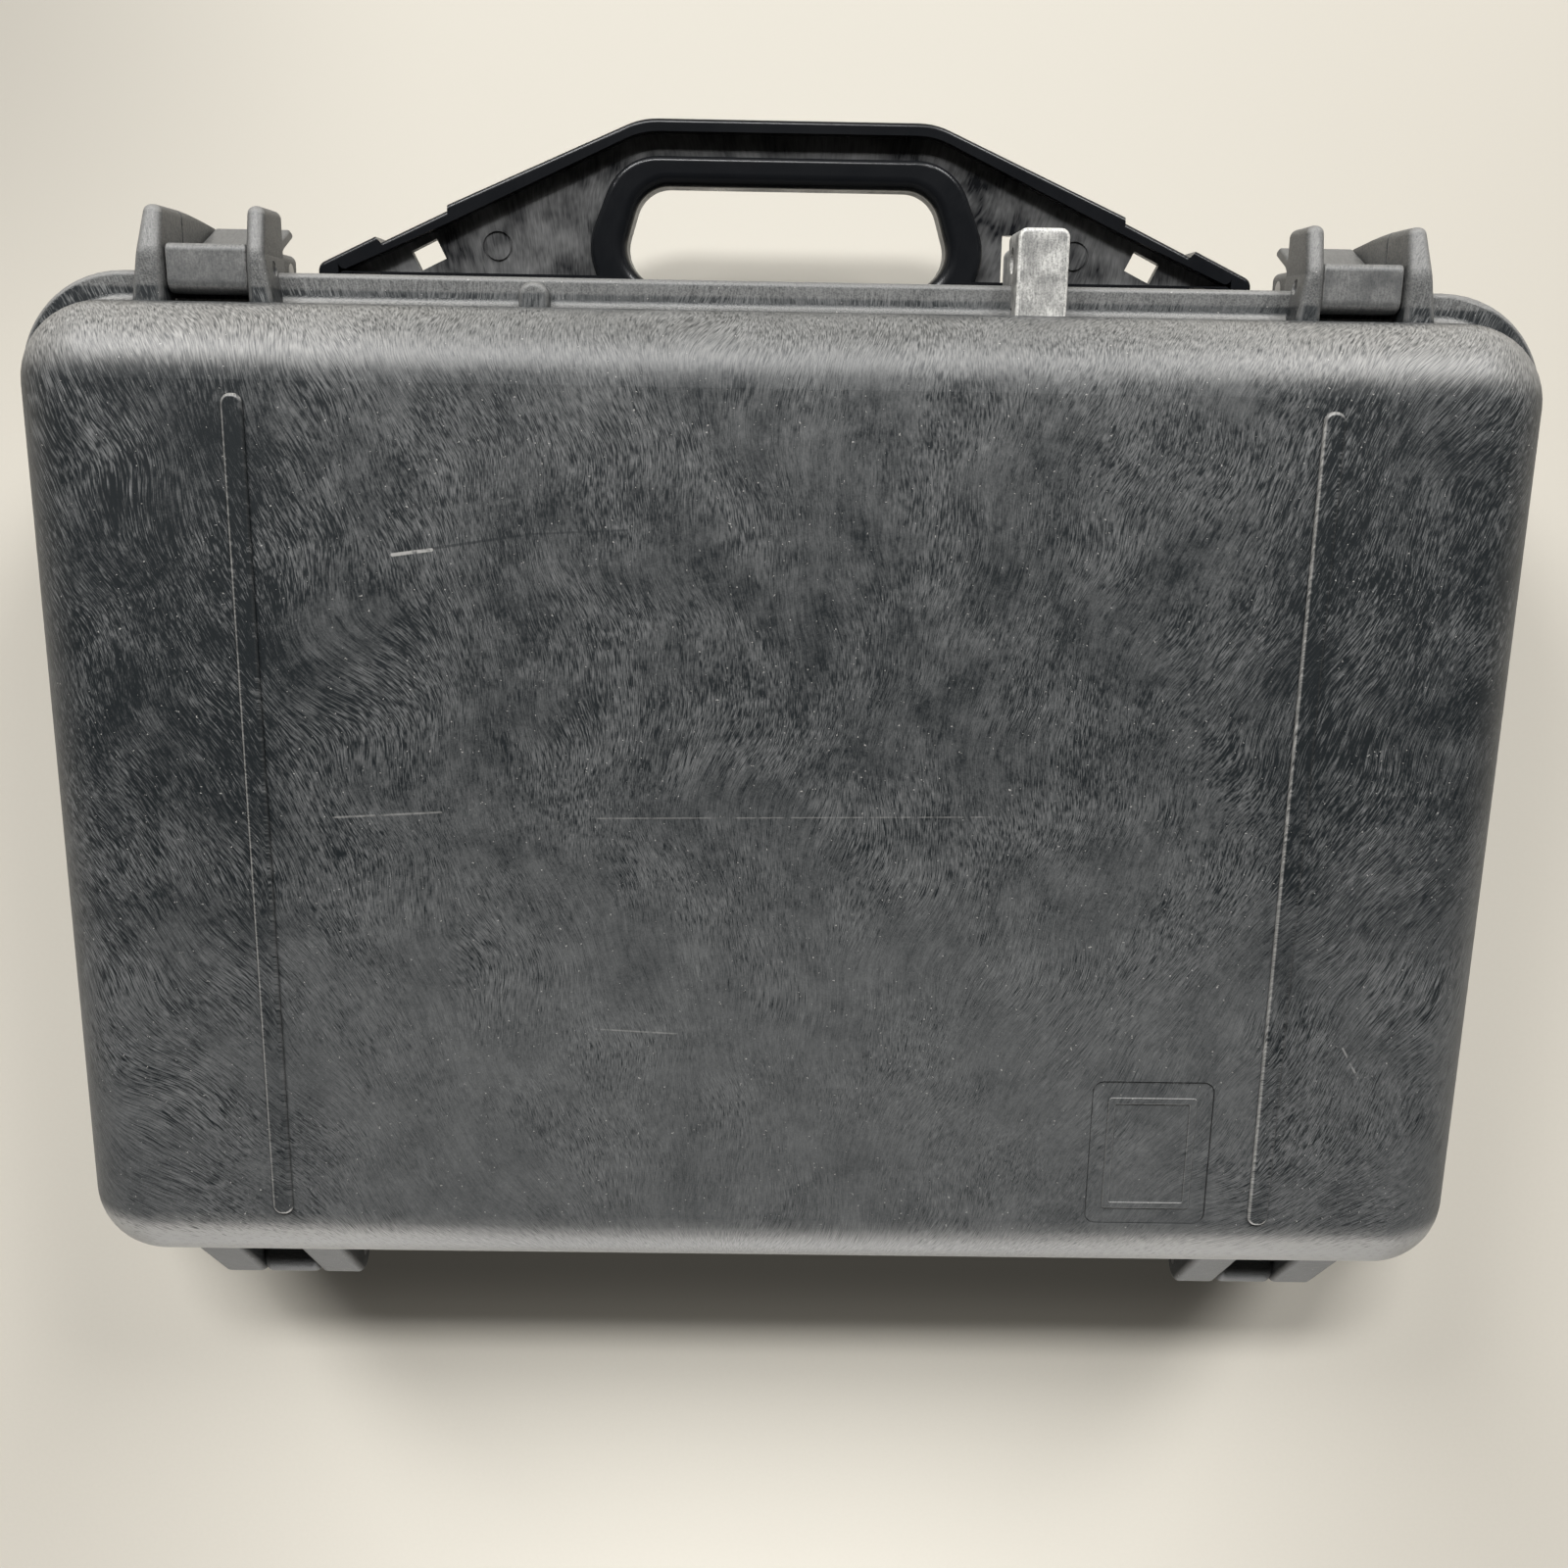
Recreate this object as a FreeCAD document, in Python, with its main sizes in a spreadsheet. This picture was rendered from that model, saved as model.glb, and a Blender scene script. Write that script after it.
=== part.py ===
import FreeCAD, Part
import math
import os
import re
import Sketcher

# Hard case lying on its base, lid up. X runs along the hinge, Z is up, and the latches and the handle are
# at -Y.
# "Out" means the distance from the outer face of the front or rear wall, away from the case.

# Driving sizes in millimetres: name, value, meaning.
SIZES = [
    ("body_length", 408, "case body along X, without the flange"),
    ("body_width", 277.5, "case body along Y, without the flange"),
    ("lid_depth", 43, "lid from its rim to its face"),
    ("base_depth", 66.6, "base from its rim to its bottom"),
    ("corner_round", 22, "corner radius of the body seen from above"),
    ("edge_round", 20, "radius round the lid face and the base bottom"),
    ("wall_thick", 4, "shell wall"),
    ("parting_gap", 0.3, "gap between the two rims"),
    ("flange_out", 8.5, "flange reach from the wall"),
    ("flange_high", 8, "flange height on each half"),
    ("flange_round", 1.5, "radius along the flange edge"),
    ("flange_foot", 2.5, "radius where the flange meets the wall"),
    ("rib_side", 61, "rib centre from the side wall"),
    ("rib_front", 23.35, "rib end from the front wall"),
    ("rib_rear", 20.3, "rib end from the rear wall"),
    ("rib_wide", 5.8, "rib width"),
    ("rib_rise", 1.3, "rib height on the lid and on the base"),
    ("rib_round", 1, "radius along the rib's top"),
    ("seal_in", 2.8, "seal groove, reach into the wall"),
    ("seal_out", 0.2, "seal groove, reach out under the flange"),
    ("seal_deep", 3, "seal groove depth"),
    ("seal_play", 0.1, "room round the seal in its groove"),
    ("badge_side", 94.3, "badge centre from the side wall"),
    ("badge_back", 42.55, "badge centre from the rear wall"),
    ("badge_wide", 35.4, "badge recess along X"),
    ("badge_long", 45.4, "badge recess along Y"),
    ("badge_deep", 1, "badge recess depth"),
    ("badge_round", 3.4, "badge corner radius"),
    ("badge_play", 0.3, "gap round the badge plate"),
    ("badge_sink", 0.5, "badge plate below the lid face"),
    ("panel_wide", 25.6, "raised frame on the badge along X"),
    ("panel_long", 35.2, "raised frame on the badge along Y"),
    ("panel_frame", 2, "width of that frame's bars"),
    ("nub_side", 69.1, "half-dome nub from the middle, along X"),
    ("nub_wide", 8.4, "nub width"),
    ("nub_out", 7.2, "nub reach"),
    ("nub_high", 4, "nub height on the flange"),
    ("nub_round", 1.5, "radius along the nub's face"),
    ("latch_end", 47.6, "latch centre from the side wall"),
    ("latch_wide", 21.9, "latch lever width"),
    ("latch_play", 0.4, "gap beside the latch lever"),
    ("pivot_out", 9.3, "latch pivot, out"),
    ("pivot_high", 10, "latch pivot above the lid rim"),
    ("pivot_block", 6, "half size of the block round the latch pivot"),
    ("block_in", 7, "reach of that block from the pivot towards the wall"),
    ("block_round", 3.6, "radius of its corners by the wall"),
    ("notch_in", 1.2, "latch notch in the lid flange, starts this far out"),
    ("catch_drop", 7, "catch bar below the base rim"),
    ("catch_round", 2.5, "catch bar radius"),
    ("catch_play", 0.3, "gap between latch hook and catch bar"),
    ("lever_thick", 3.4, "latch lever plate"),
    ("hook_thick", 5, "latch hook"),
    ("hook_reach", 3.8, "latch hook, reach behind the catch bar's centre"),
    ("lip_out", 13.1, "finger lip, out from the latch pivot"),
    ("lip_drop", 40, "finger lip below the latch pivot"),
    ("lip_thick", 3, "finger lip"),
    ("lever_round", 0.8, "radius along the lever's outer edges"),
    ("ear_out", 25.1, "latch ears, out"),
    ("ear_tip", 4.9, "ear thickness at its tip"),
    ("ear_foot", 9, "outer ear thickness at its foot"),
    ("ear_high", 18.4, "lid ear above the rim"),
    ("ear_bend", 12, "radius of the bend in a lid ear's face"),
    ("ear_lean", 3.5, "lid ear's tip, set back from its face"),
    ("ear_step", 0.6, "outer base ear's top below the rim"),
    ("ear_drop", 36, "outer base ear's end below the rim"),
    ("stub_out", 14.2, "inner base ear, a short stub, out"),
    ("stub_foot", 5, "that stub below the catch bar's centre"),
    ("ear_fall", 3, "base ear, fall of its edge towards the end"),
    ("ear_round", 2.2, "radius at the ear tips"),
    ("ear_edge", 1.8, "radius round the face of a lid ear"),
    ("pin_round", 2, "radius of the latch, hinge and handle pins"),
    ("pin_fit", 0.05, "running gap round a pin"),
    ("hinge_end", 50.3, "hinge centre from the side wall"),
    ("hinge_out", 16.3, "hinge axis, out from the rear wall"),
    ("barrel_round", 7.2, "hinge barrel radius"),
    ("lug_wide", 13.4, "lid hinge lug along X"),
    ("lug_gap", 17.8, "room between two lid lugs"),
    ("lug_play", 0.35, "gap beside the base knuckle"),
    ("lug_turn", 49, "place on the lid's shoulder where a lug ends, in degrees"),
    ("lug_round", 2, "radius along a hinge lug's edges"),
    ("handle_rise", 52.5, "handle top edge, out"),
    ("handle_thick", 15.4, "handle along Z"),
    ("handle_gap", 1.2, "handle below the base flange"),
    ("handle_foot", 1.2, "handle lower edge, out"),
    ("handle_room", 4.75, "room between the handle and the latch ears"),
    ("handle_tip", 12, "handle end, out"),
    ("handle_shoulder", 41, "half length of the handle's top edge"),
    ("strap_end", 17.2, "strap notch from the handle's end"),
    ("strap_long", 20, "strap notch along X"),
    ("strap_step", 1.6, "depth of the strap notch"),
    ("slope_high", 28.6, "handle rim at the inner end of the strap notch, out"),
    ("slope_low", 19.7, "handle rim at the outer end of the strap notch, out"),
    ("rim_thick", 3.4, "handle rim"),
    ("web_thick", 3.6, "handle web"),
    ("bar_top", 10.2, "top of the handle's lower bar, out"),
    ("handle_turn", 22, "radius at the handle's shoulders"),
    ("bar_round", 3, "radius along the handle's lower edges"),
    ("rim_round", 1.2, "radius along the handle's outer edges"),
    ("grip_low", 8, "grip hole, lower edge, out"),
    ("grip_high", 34.7, "grip hole, upper edge, out"),
    ("grip_foot", 48.9, "half width of the grip hole at its lower edge"),
    ("grip_top", 40.7, "half width of the grip hole at its upper edge"),
    ("grip_collar", 8, "collar round the grip hole"),
    ("collar_top", 6.4, "collar beside the grip hole at its upper edge"),
    ("collar_round", 1.5, "radius along the collar's outer edge"),
    ("grip_turn", 10, "corner radius of the grip hole"),
    ("grip_round", 3.5, "radius along the grip hole"),
    ("slot_long", 8.2, "strap hole along the rim"),
    ("slot_wide", 6, "strap hole across the rim"),
    ("slot_end", 30.5, "strap hole centre from the handle's end"),
    ("slot_out", 15.3, "strap hole centre, out"),
    ("slot_turn", 26, "strap hole's turn, in degrees"),
    ("mark_end", 50.4, "round mark in the web, from the handle's end"),
    ("mark_out", 17.9, "round mark, out"),
    ("mark_round", 4.3, "round mark radius"),
    ("mark_line", 0.7, "width of the groove round it"),
    ("mark_deep", 0.6, "groove depth"),
    ("hinge_foot", 5.5, "handle pivot, out"),
    ("pivot_rear", 4.4, "handle pivot above the handle's lower face"),
    ("boss_end", 13.5, "handle boss centre from the handle's end"),
    ("boss_wide", 7.8, "handle boss along X"),
    ("boss_play", 0.4, "gap beside the handle boss"),
    ("boss_round", 3.8, "handle boss radius"),
    ("handle_pin", 27, "handle pin length"),
    ("hasp_side", 69, "hasp centre from the middle"),
    ("hasp_wide", 14, "hasp hood along X"),
    ("hasp_out", 23, "hasp hood, out"),
    ("hasp_high", 18, "hasp hood above the lid rim"),
    ("hasp_roof", 4.5, "hasp hood's closed end"),
    ("hasp_round", 2.5, "radius at the corners of the hasp hood and lug"),
    ("hasp_edge", 1.4, "radius round their faces"),
    ("tongue_wide", 5.2, "hasp tongue along X"),
    ("tongue_play", 0.4, "gap beside the tongue"),
    ("tongue_out", 21, "hasp tongue, out"),
    ("staple_wide", 13.4, "hasp lug along X"),
    ("staple_out", 19.5, "hasp lug, out"),
    ("staple_drop", 13.7, "hasp lug below the base rim"),
    ("staple_play", 0.35, "room round the hasp lug in the handle"),
    ("slot_top", 23.5, "top of the handle's slot for the hasp lug, out"),
    ("shackle_round", 3.6, "padlock hole radius"),
    ("shackle_out", 15, "padlock hole, out"),
    ("shackle_high", 7, "padlock hole above the lid rim"),
    ("vent_high", 33, "vent knob above the resting plane"),
    ("vent_round", 7, "vent knob radius"),
    ("vent_thick", 7, "vent knob along Y"),
    ("vent_seal", 1.2, "vent seal washer"),
    ("vent_stem", 3, "vent stem radius"),
    ("vent_sleeve", 4.5, "vent bushing radius in the wall"),
    ("vent_collar", 8, "vent bushing collar radius"),
    ("vent_foot", 2, "vent bushing collar thickness"),
    ("flute_round", 1.3, "radius of a flute in the vent knob"),
]
FLUTES = 10
# Share of half a width that a nearly full rounding takes.
FULL_ROUND = 0.95

doc = FreeCAD.newDocument("hard_case")
sheet = doc.addObject("Spreadsheet::Sheet", "Sizes")
for row, (alias, size, meaning) in enumerate(SIZES, start=1):
    sheet.set(f"A{row}", meaning)
    sheet.set(f"B{row}", str(size))
    sheet.setAlias(f"B{row}", alias)
doc.recompute()

# Places that several pieces share, as expressions of the driving sizes.
MIDDLE = "((handle_rise - hinge_out - barrel_round) / 2)"
BASE_RIM = "(rib_rise + base_depth)"
LID_RIM = f"({BASE_RIM} + parting_gap)"
LID_FACE = f"({LID_RIM} + lid_depth)"
HINGE_Z = f"({BASE_RIM} + parting_gap / 2)"
PIVOT_Z = f"({LID_RIM} + pivot_high)"
CATCH_Z = f"({BASE_RIM} - catch_drop)"
EAR_ROOM = "(latch_wide + 2 * latch_play)"
LATCH_X = "(body_length / 2 - latch_end)"
HINGE_X = "(body_length / 2 - hinge_end)"
HANDLE_HALF = f"({LATCH_X} - {EAR_ROOM} / 2 - ear_tip - ear_round - handle_room)"
STRAP_OUTER = f"({HANDLE_HALF} - strap_end)"
STRAP_INNER = f"({STRAP_OUTER} - strap_long)"
BOSS_X = f"({HANDLE_HALF} - boss_end)"
HANDLE_TOP = f"({BASE_RIM} - flange_high - handle_gap)"
HANDLE_LOW = f"({HANDLE_TOP} - handle_thick)"
HANDLE_PIVOT_Z = f"({HANDLE_LOW} + pivot_rear)"
SHACKLE_Z = f"({LID_RIM} + shackle_high)"
EMBED = "wall_thick / 2"
SIDES = (("left", -1), ("right", 1))
TINY = 1e-4


def ex(text):
    """Turns the names of sizes into references to the sheet."""
    return re.sub(r"\b[a-z]+_[a-z]+\b", lambda found: "Sizes." + found.group(0), str(text))


def value(text):
    """The number that an expression of sizes stands for now."""
    return float(sheet.evalExpression(ex(text)))


def front(out):
    """Y of a point that lies this far out from the front wall."""
    return f"-(body_width / 2 + {out})"


def rear(out):
    """Y of a point that lies this far out from the rear wall."""
    return f"(body_width / 2 + {out})"


def new_body(label):
    body = doc.addObject("PartDesign::Body", label)
    body.Label = label
    body.setExpression("Placement.Base.y", ex(MIDDLE))
    return body


def sketch_on(body, plane, offset):
    """An empty sketch on one of the body's own planes, moved along the plane's normal."""
    sketch = body.newObject("Sketcher::SketchObject", f"{body.Name}_sketch")
    support = next(f for f in body.Origin.OriginFeatures if f.Role == plane)
    sketch.AttachmentSupport = [(support, "")]
    sketch.MapMode = "FlatFace"
    sketch.setExpression("AttachmentOffset.Base.z", ex(offset))
    return sketch


def bind(sketch, kind, *arguments, size):
    """Adds a constraint whose value follows an expression of sizes."""
    index = sketch.addConstraint(Sketcher.Constraint(kind, *arguments, value(size)))
    sketch.setExpression(f"Constraints[{index}]", ex(size))


def outline(sketch, corners):
    """Draws a closed outline through corners of (x, y) or (x, y, radius)."""
    count = len(corners)
    points = [FreeCAD.Vector(value(corner[0]), value(corner[1]), 0) for corner in corners]
    radii = [value(corner[2]) if len(corner) > 2 else 0 for corner in corners]
    side_ends = []
    side_starts = []
    centres = []
    for i in range(count):
        back = (points[i - 1] - points[i]).normalize()
        onward = (points[(i + 1) % count] - points[i]).normalize()
        half = back.getAngle(onward) / 2
        side_ends.append(points[i] + back * (radii[i] / math.tan(half)))
        side_starts.append(points[i] + onward * (radii[i] / math.tan(half)))
        centres.append(points[i] + (back + onward).normalize() * (radii[i] / math.sin(half)))
    sides = []
    for i in range(count):
        side = Part.LineSegment(side_starts[i], side_ends[(i + 1) % count])
        sides.append(sketch.addGeometry(side))
    for i, corner in enumerate(corners):
        if not radii[i]:
            sketch.addConstraint(Sketcher.Constraint("Coincident", sides[i - 1], 2, sides[i], 1))
            bind(sketch, "DistanceX", -1, 1, sides[i], 1, size=corner[0])
            bind(sketch, "DistanceY", -1, 1, sides[i], 1, size=corner[1])
            continue
        turn = (points[i] - points[i - 1]).cross(points[(i + 1) % count] - points[i]).z
        first, last = (side_ends[i], side_starts[i]) if turn > 0 else (side_starts[i], side_ends[i])
        angles = [math.atan2(p.y - centres[i].y, p.x - centres[i].x) for p in (first, last)]
        circle = Part.Circle(centres[i], FreeCAD.Vector(0, 0, 1), radii[i])
        arc = sketch.addGeometry(Part.ArcOfCircle(circle, *angles))
        vertex = sketch.addGeometry(Part.Point(points[i]), True)
        near, far = (1, 2) if turn > 0 else (2, 1)
        sketch.addConstraint(Sketcher.Constraint("Tangent", sides[i - 1], 2, arc, near))
        sketch.addConstraint(Sketcher.Constraint("Tangent", arc, far, sides[i], 1))
        sketch.addConstraint(Sketcher.Constraint("PointOnObject", vertex, 1, sides[i - 1]))
        sketch.addConstraint(Sketcher.Constraint("PointOnObject", vertex, 1, sides[i]))
        bind(sketch, "Radius", arc, size=corner[2])
        bind(sketch, "DistanceX", -1, 1, vertex, 1, size=corner[0])
        bind(sketch, "DistanceY", -1, 1, vertex, 1, size=corner[1])


def rectangle(sketch, x_low, x_high, y_low, y_high, radius=None):
    corners = [(x_low, y_low), (x_high, y_low), (x_high, y_high), (x_low, y_high)]
    outline(sketch, [corner + (radius,) if radius else corner for corner in corners])


def body_outline(sketch, grow):
    """The case seen from above, grown by this much all round."""
    half_x = f"(body_length / 2 + {grow})"
    half_y = f"(body_width / 2 + {grow})"
    rectangle(sketch, f"-{half_x}", half_x, f"-{half_y}", half_y, f"corner_round + {grow}")


def circle(sketch, x, y, radius):
    centre = FreeCAD.Vector(value(x), value(y), 0)
    index = sketch.addGeometry(Part.Circle(centre, FreeCAD.Vector(0, 0, 1), value(radius)))
    bind(sketch, "Radius", index, size=radius)
    bind(sketch, "DistanceX", -1, 1, index, 3, size=x)
    bind(sketch, "DistanceY", -1, 1, index, 3, size=y)


def pad(body, sketch, length, back=False):
    """Adds the sketch's area along its normal, or against it."""
    feature = body.newObject("PartDesign::Pad", f"{body.Name}_pad")
    feature.Profile = sketch
    feature.setExpression("Length", ex(length))
    feature.Reversed = back
    doc.recompute()
    return feature


def cut(body, sketch, depth, back=False):
    """Cuts the sketch's area along its normal, or against it."""
    before = body.Tip.Shape.Volume
    feature = body.newObject("PartDesign::Pocket", f"{body.Name}_cut")
    feature.Profile = sketch
    feature.setExpression("Length", ex(depth))
    feature.Reversed = not back
    doc.recompute()
    if feature.Shape.Volume > before - TINY:
        raise RuntimeError(f"{feature.Name} cuts nothing")
    return feature


def round_edges(body, radius, choose):
    """Rounds the edges that the test picks on the body as it is now."""
    base = body.Tip
    names = [f"Edge{i}" for i, edge in enumerate(base.Shape.Edges, start=1) if choose(edge.BoundBox)]
    if not names:
        raise RuntimeError(f"{body.Name} has no such edges")
    feature = body.newObject("PartDesign::Fillet", f"{body.Name}_round")
    feature.Base = (base, names)
    feature.setExpression("Radius", ex(radius))
    doc.recompute()
    return feature


def same(a, b):
    return abs(a - b) < TINY


def level(box, height):
    """True for an edge that lies flat at this height."""
    return same(box.ZMin, height) and same(box.ZMax, height)


def reaches_flange(box):
    """True for an edge on the flange's outer outline."""
    half_x = value("body_length / 2 + flange_out") - TINY
    half_y = value("body_width / 2 + flange_out") - TINY
    return max(box.XMax, -box.XMin) > half_x or max(box.YMax, -box.YMin) > half_y


def outer_ear(sketch, sign):
    """The ear on the outer side of one latch, seen from above: it thickens towards its foot."""
    face = f"{sign} * ({LATCH_X} + {EAR_ROOM} / 2)"
    outline(sketch, [
        (face, front(f"-{EMBED}")),
        (f"{face} + {sign} * ear_foot", front(f"-{EMBED}")),
        (f"{face} + {sign} * (ear_foot - ear_round)", front("ear_out / 2")),
        (f"{face} + {sign} * ear_tip", front("ear_out"), "ear_round"),
        (face, front("ear_out"), "ear_round"),
    ])


def inner_ear(sketch, sign, out):
    """The ear on the inner side of one latch, seen from above."""
    face = f"{sign} * ({LATCH_X} - {EAR_ROOM} / 2)"
    outline(sketch, [
        (face, front(f"-{EMBED}")),
        (face, front(out), "ear_round"),
        (f"{face} - {sign} * ear_tip", front(out), "ear_round"),
        (f"{face} - {sign} * ear_tip", front(f"{out} / 2")),
        (f"{face} - {sign} * (ear_tip + ear_round)", front(f"-{EMBED}")),
    ])


def hinge_lug(body, start, width, rim, slope_in, slope_high, up):
    """A hinge barrel with a web that slopes from it to the wall; up is 1 on the lid and -1 on the base."""
    run = f"({slope_in} + hinge_out)"
    turn = f"(atan2({slope_high}; -{run}) - acos(barrel_round / sqrt({run} ^ 2 + {slope_high} ^ 2)))"
    web = sketch_on(body, "YZ_Plane", start)
    outline(web, [
        (rear(f"-{EMBED}"), rim),
        (rear("hinge_out"), rim),
        (rear(f"(hinge_out + barrel_round * cos({turn}))"), f"{HINGE_Z} + {up} * barrel_round * sin({turn})"),
        (rear(f"-{slope_in}"), f"{HINGE_Z} + {up} * {slope_high}"),
        (rear(f"-{EMBED}"), f"{HINGE_Z} + {up} * 2 / 3 * {slope_high}"),
    ])
    pad(body, web, width)
    barrel = sketch_on(body, "YZ_Plane", start)
    circle(barrel, rear("hinge_out"), HINGE_Z, "barrel_round")
    pad(body, barrel, width)
    faces = (value(start), value(f"{start} + {width}"))
    wall_y, tip_y = value(rear("0")), value(rear("hinge_out + barrel_round"))
    slope_long = value("hinge_out")
    round_edges(body, "lug_round", lambda box: same(box.XMin, box.XMax)
                and any(same(box.XMin, x) for x in faces)
                and box.YLength > slope_long - TINY and wall_y + TINY < box.YMax < tip_y - TINY)


def bore(body, start, length, y, z, radius):
    """A round hole along X."""
    hole = sketch_on(body, "YZ_Plane", start)
    circle(hole, y, z, radius)
    cut(body, hole, length)


def shell(body, low, depth, flange_low, rim, face, up):
    """A hollow half of the case with its flange; up is 1 on the lid and -1 on the base."""
    plate = sketch_on(body, "XY_Plane", flange_low)
    body_outline(plate, "flange_out")
    pad(body, plate, "flange_high")
    block = sketch_on(body, "XY_Plane", low)
    body_outline(block, "0")
    pad(body, block, depth)
    cavity = sketch_on(body, "XY_Plane", rim)
    body_outline(cavity, "-wall_thick")
    cut(body, cavity, f"{depth} - wall_thick", back=up < 0)
    floor_height = value(f"{face} - {up} * wall_thick")
    round_edges(body, "edge_round - wall_thick", lambda box: level(box, floor_height))
    face_height = value(face)
    round_edges(body, "edge_round", lambda box: level(box, face_height))
    edge_height = value(f"{rim} + {up} * flange_high")
    round_edges(body, "flange_foot", lambda box: level(box, edge_height) and not reaches_flange(box))
    round_edges(body, "flange_round", lambda box: level(box, edge_height) and reaches_flange(box))
    ribs = sketch_on(body, "XY_Plane", face)
    for _, sign in SIDES:
        rib_x = f"{sign} * (body_length / 2 - rib_side)"
        rectangle(ribs, f"{rib_x} - rib_wide / 2", f"{rib_x} + rib_wide / 2", front("-rib_front"),
                  rear("-rib_rear"), "rib_wide / 2 - rib_round / 4")
    pad(body, ribs, "rib_rise", back=up < 0)
    rib_height = value(f"{face} + {up} * rib_rise")
    round_edges(body, "rib_round", lambda box: level(box, rib_height))


def badge_rectangle(sketch, wide, long, radius):
    """A rectangle round the middle of the badge."""
    x, y = "(badge_side - body_length / 2)", "(body_width / 2 - badge_back)"
    rectangle(sketch, f"{x} - ({wide}) / 2", f"{x} + ({wide}) / 2",
              f"{y} - ({long}) / 2", f"{y} + ({long}) / 2", radius)


def add_lid_ears(body, wall_y):
    """Ears beside both latches, whose faces bend back towards their tips."""
    ears = sketch_on(body, "XY_Plane", LID_RIM)
    for _, sign in SIDES:
        outer_ear(ears, sign)
        inner_ear(ears, sign, "ear_out")
    pad(body, ears, "ear_high")
    lean = sketch_on(body, "YZ_Plane", "-body_length / 2")
    outline(lean, [
        (front("ear_out / 2"), f"{LID_RIM} + ear_high"),
        (front("(2 * ear_out)"), f"{LID_RIM} + ear_high"),
        (front("(2 * ear_out)"), f"{LID_RIM} + ear_high - 3 * ear_lean"),
    ])
    cut(body, lean, "body_length")
    bend_y = value(front("ear_out / 2"))
    ear_top = value(f"{LID_RIM} + ear_high")
    round_edges(body, "ear_bend", lambda box: level(box, ear_top) and same(box.YMin, bend_y)
                and same(box.YMax, bend_y))
    tip_top = value(f"{LID_RIM} + ear_high - ear_lean") - TINY
    tangent = value("ear_bend * tan(asin(ear_lean / ear_out))")
    round_edges(body, "ear_edge", lambda box: box.ZMin > tip_top and box.YMin < wall_y - TINY
                and not (same(box.YMin, box.YMax) and abs(box.YMin - bend_y) < tangent))


def make_lid():
    body = new_body("lid_shell")
    shell(body, LID_RIM, "lid_depth", LID_RIM, LID_RIM, LID_FACE, 1)
    notches = sketch_on(body, "XY_Plane", LID_RIM)
    for _, sign in SIDES:
        rectangle(notches, f"{sign} * {LATCH_X} - {EAR_ROOM} / 2", f"{sign} * {LATCH_X} + {EAR_ROOM} / 2",
                  front("2 * flange_out"), front("notch_in"))
    cut(body, notches, "flange_high + flange_foot")
    wall_y = value(front("0"))
    add_lid_ears(body, wall_y)
    nub = sketch_on(body, "XY_Plane", f"{LID_RIM} + flange_high")
    outline(nub, [
        ("nub_side - nub_wide / 2", front(f"-{EMBED}")),
        ("nub_side - nub_wide / 2", front("nub_out"), f"{FULL_ROUND} * nub_wide / 2"),
        ("nub_side + nub_wide / 2", front("nub_out"), f"{FULL_ROUND} * nub_wide / 2"),
        ("nub_side + nub_wide / 2", front(f"-{EMBED}")),
    ])
    pad(body, nub, "nub_high")
    nub_top = value(f"{LID_RIM} + flange_high + nub_high")
    round_edges(body, "nub_round", lambda box: level(box, nub_top) and box.YMin < wall_y - TINY)
    badge = sketch_on(body, "XY_Plane", LID_FACE)
    badge_rectangle(badge, "badge_wide", "badge_long", "badge_round")
    cut(body, badge, "badge_deep", back=True)
    bend = f"(edge_round - {EMBED})"
    shoulder_in = f"(edge_round - {bend} * cos(lug_turn))"
    shoulder_high = f"({LID_FACE} - edge_round + {bend} * sin(lug_turn) - {HINGE_Z})"
    for _, sign in SIDES:
        for place in (-1, 1):
            centre = f"{sign} * {HINGE_X} + {place} * (lug_gap + lug_wide) / 2"
            hinge_lug(body, f"{centre} - lug_wide / 2", "lug_wide", LID_RIM, shoulder_in, shoulder_high, 1)
    groove = sketch_on(body, "XY_Plane", LID_RIM)
    body_outline(groove, "seal_out")
    body_outline(groove, "-seal_in")
    cut(body, groove, "seal_deep")
    for _, sign in SIDES:
        reach = "(lug_gap / 2 + lug_wide + pin_round)"
        bore(body, f"{sign} * {HINGE_X} - {reach}", f"2 * {reach}", rear("hinge_out"), HINGE_Z,
             "pin_round + pin_fit")
        reach = f"({EAR_ROOM} / 2 + ear_foot + pin_round)"
        bore(body, f"{sign} * {LATCH_X} - {reach}", f"2 * {reach}", front("pivot_out"), PIVOT_Z,
             "pin_round + pin_fit")


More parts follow.
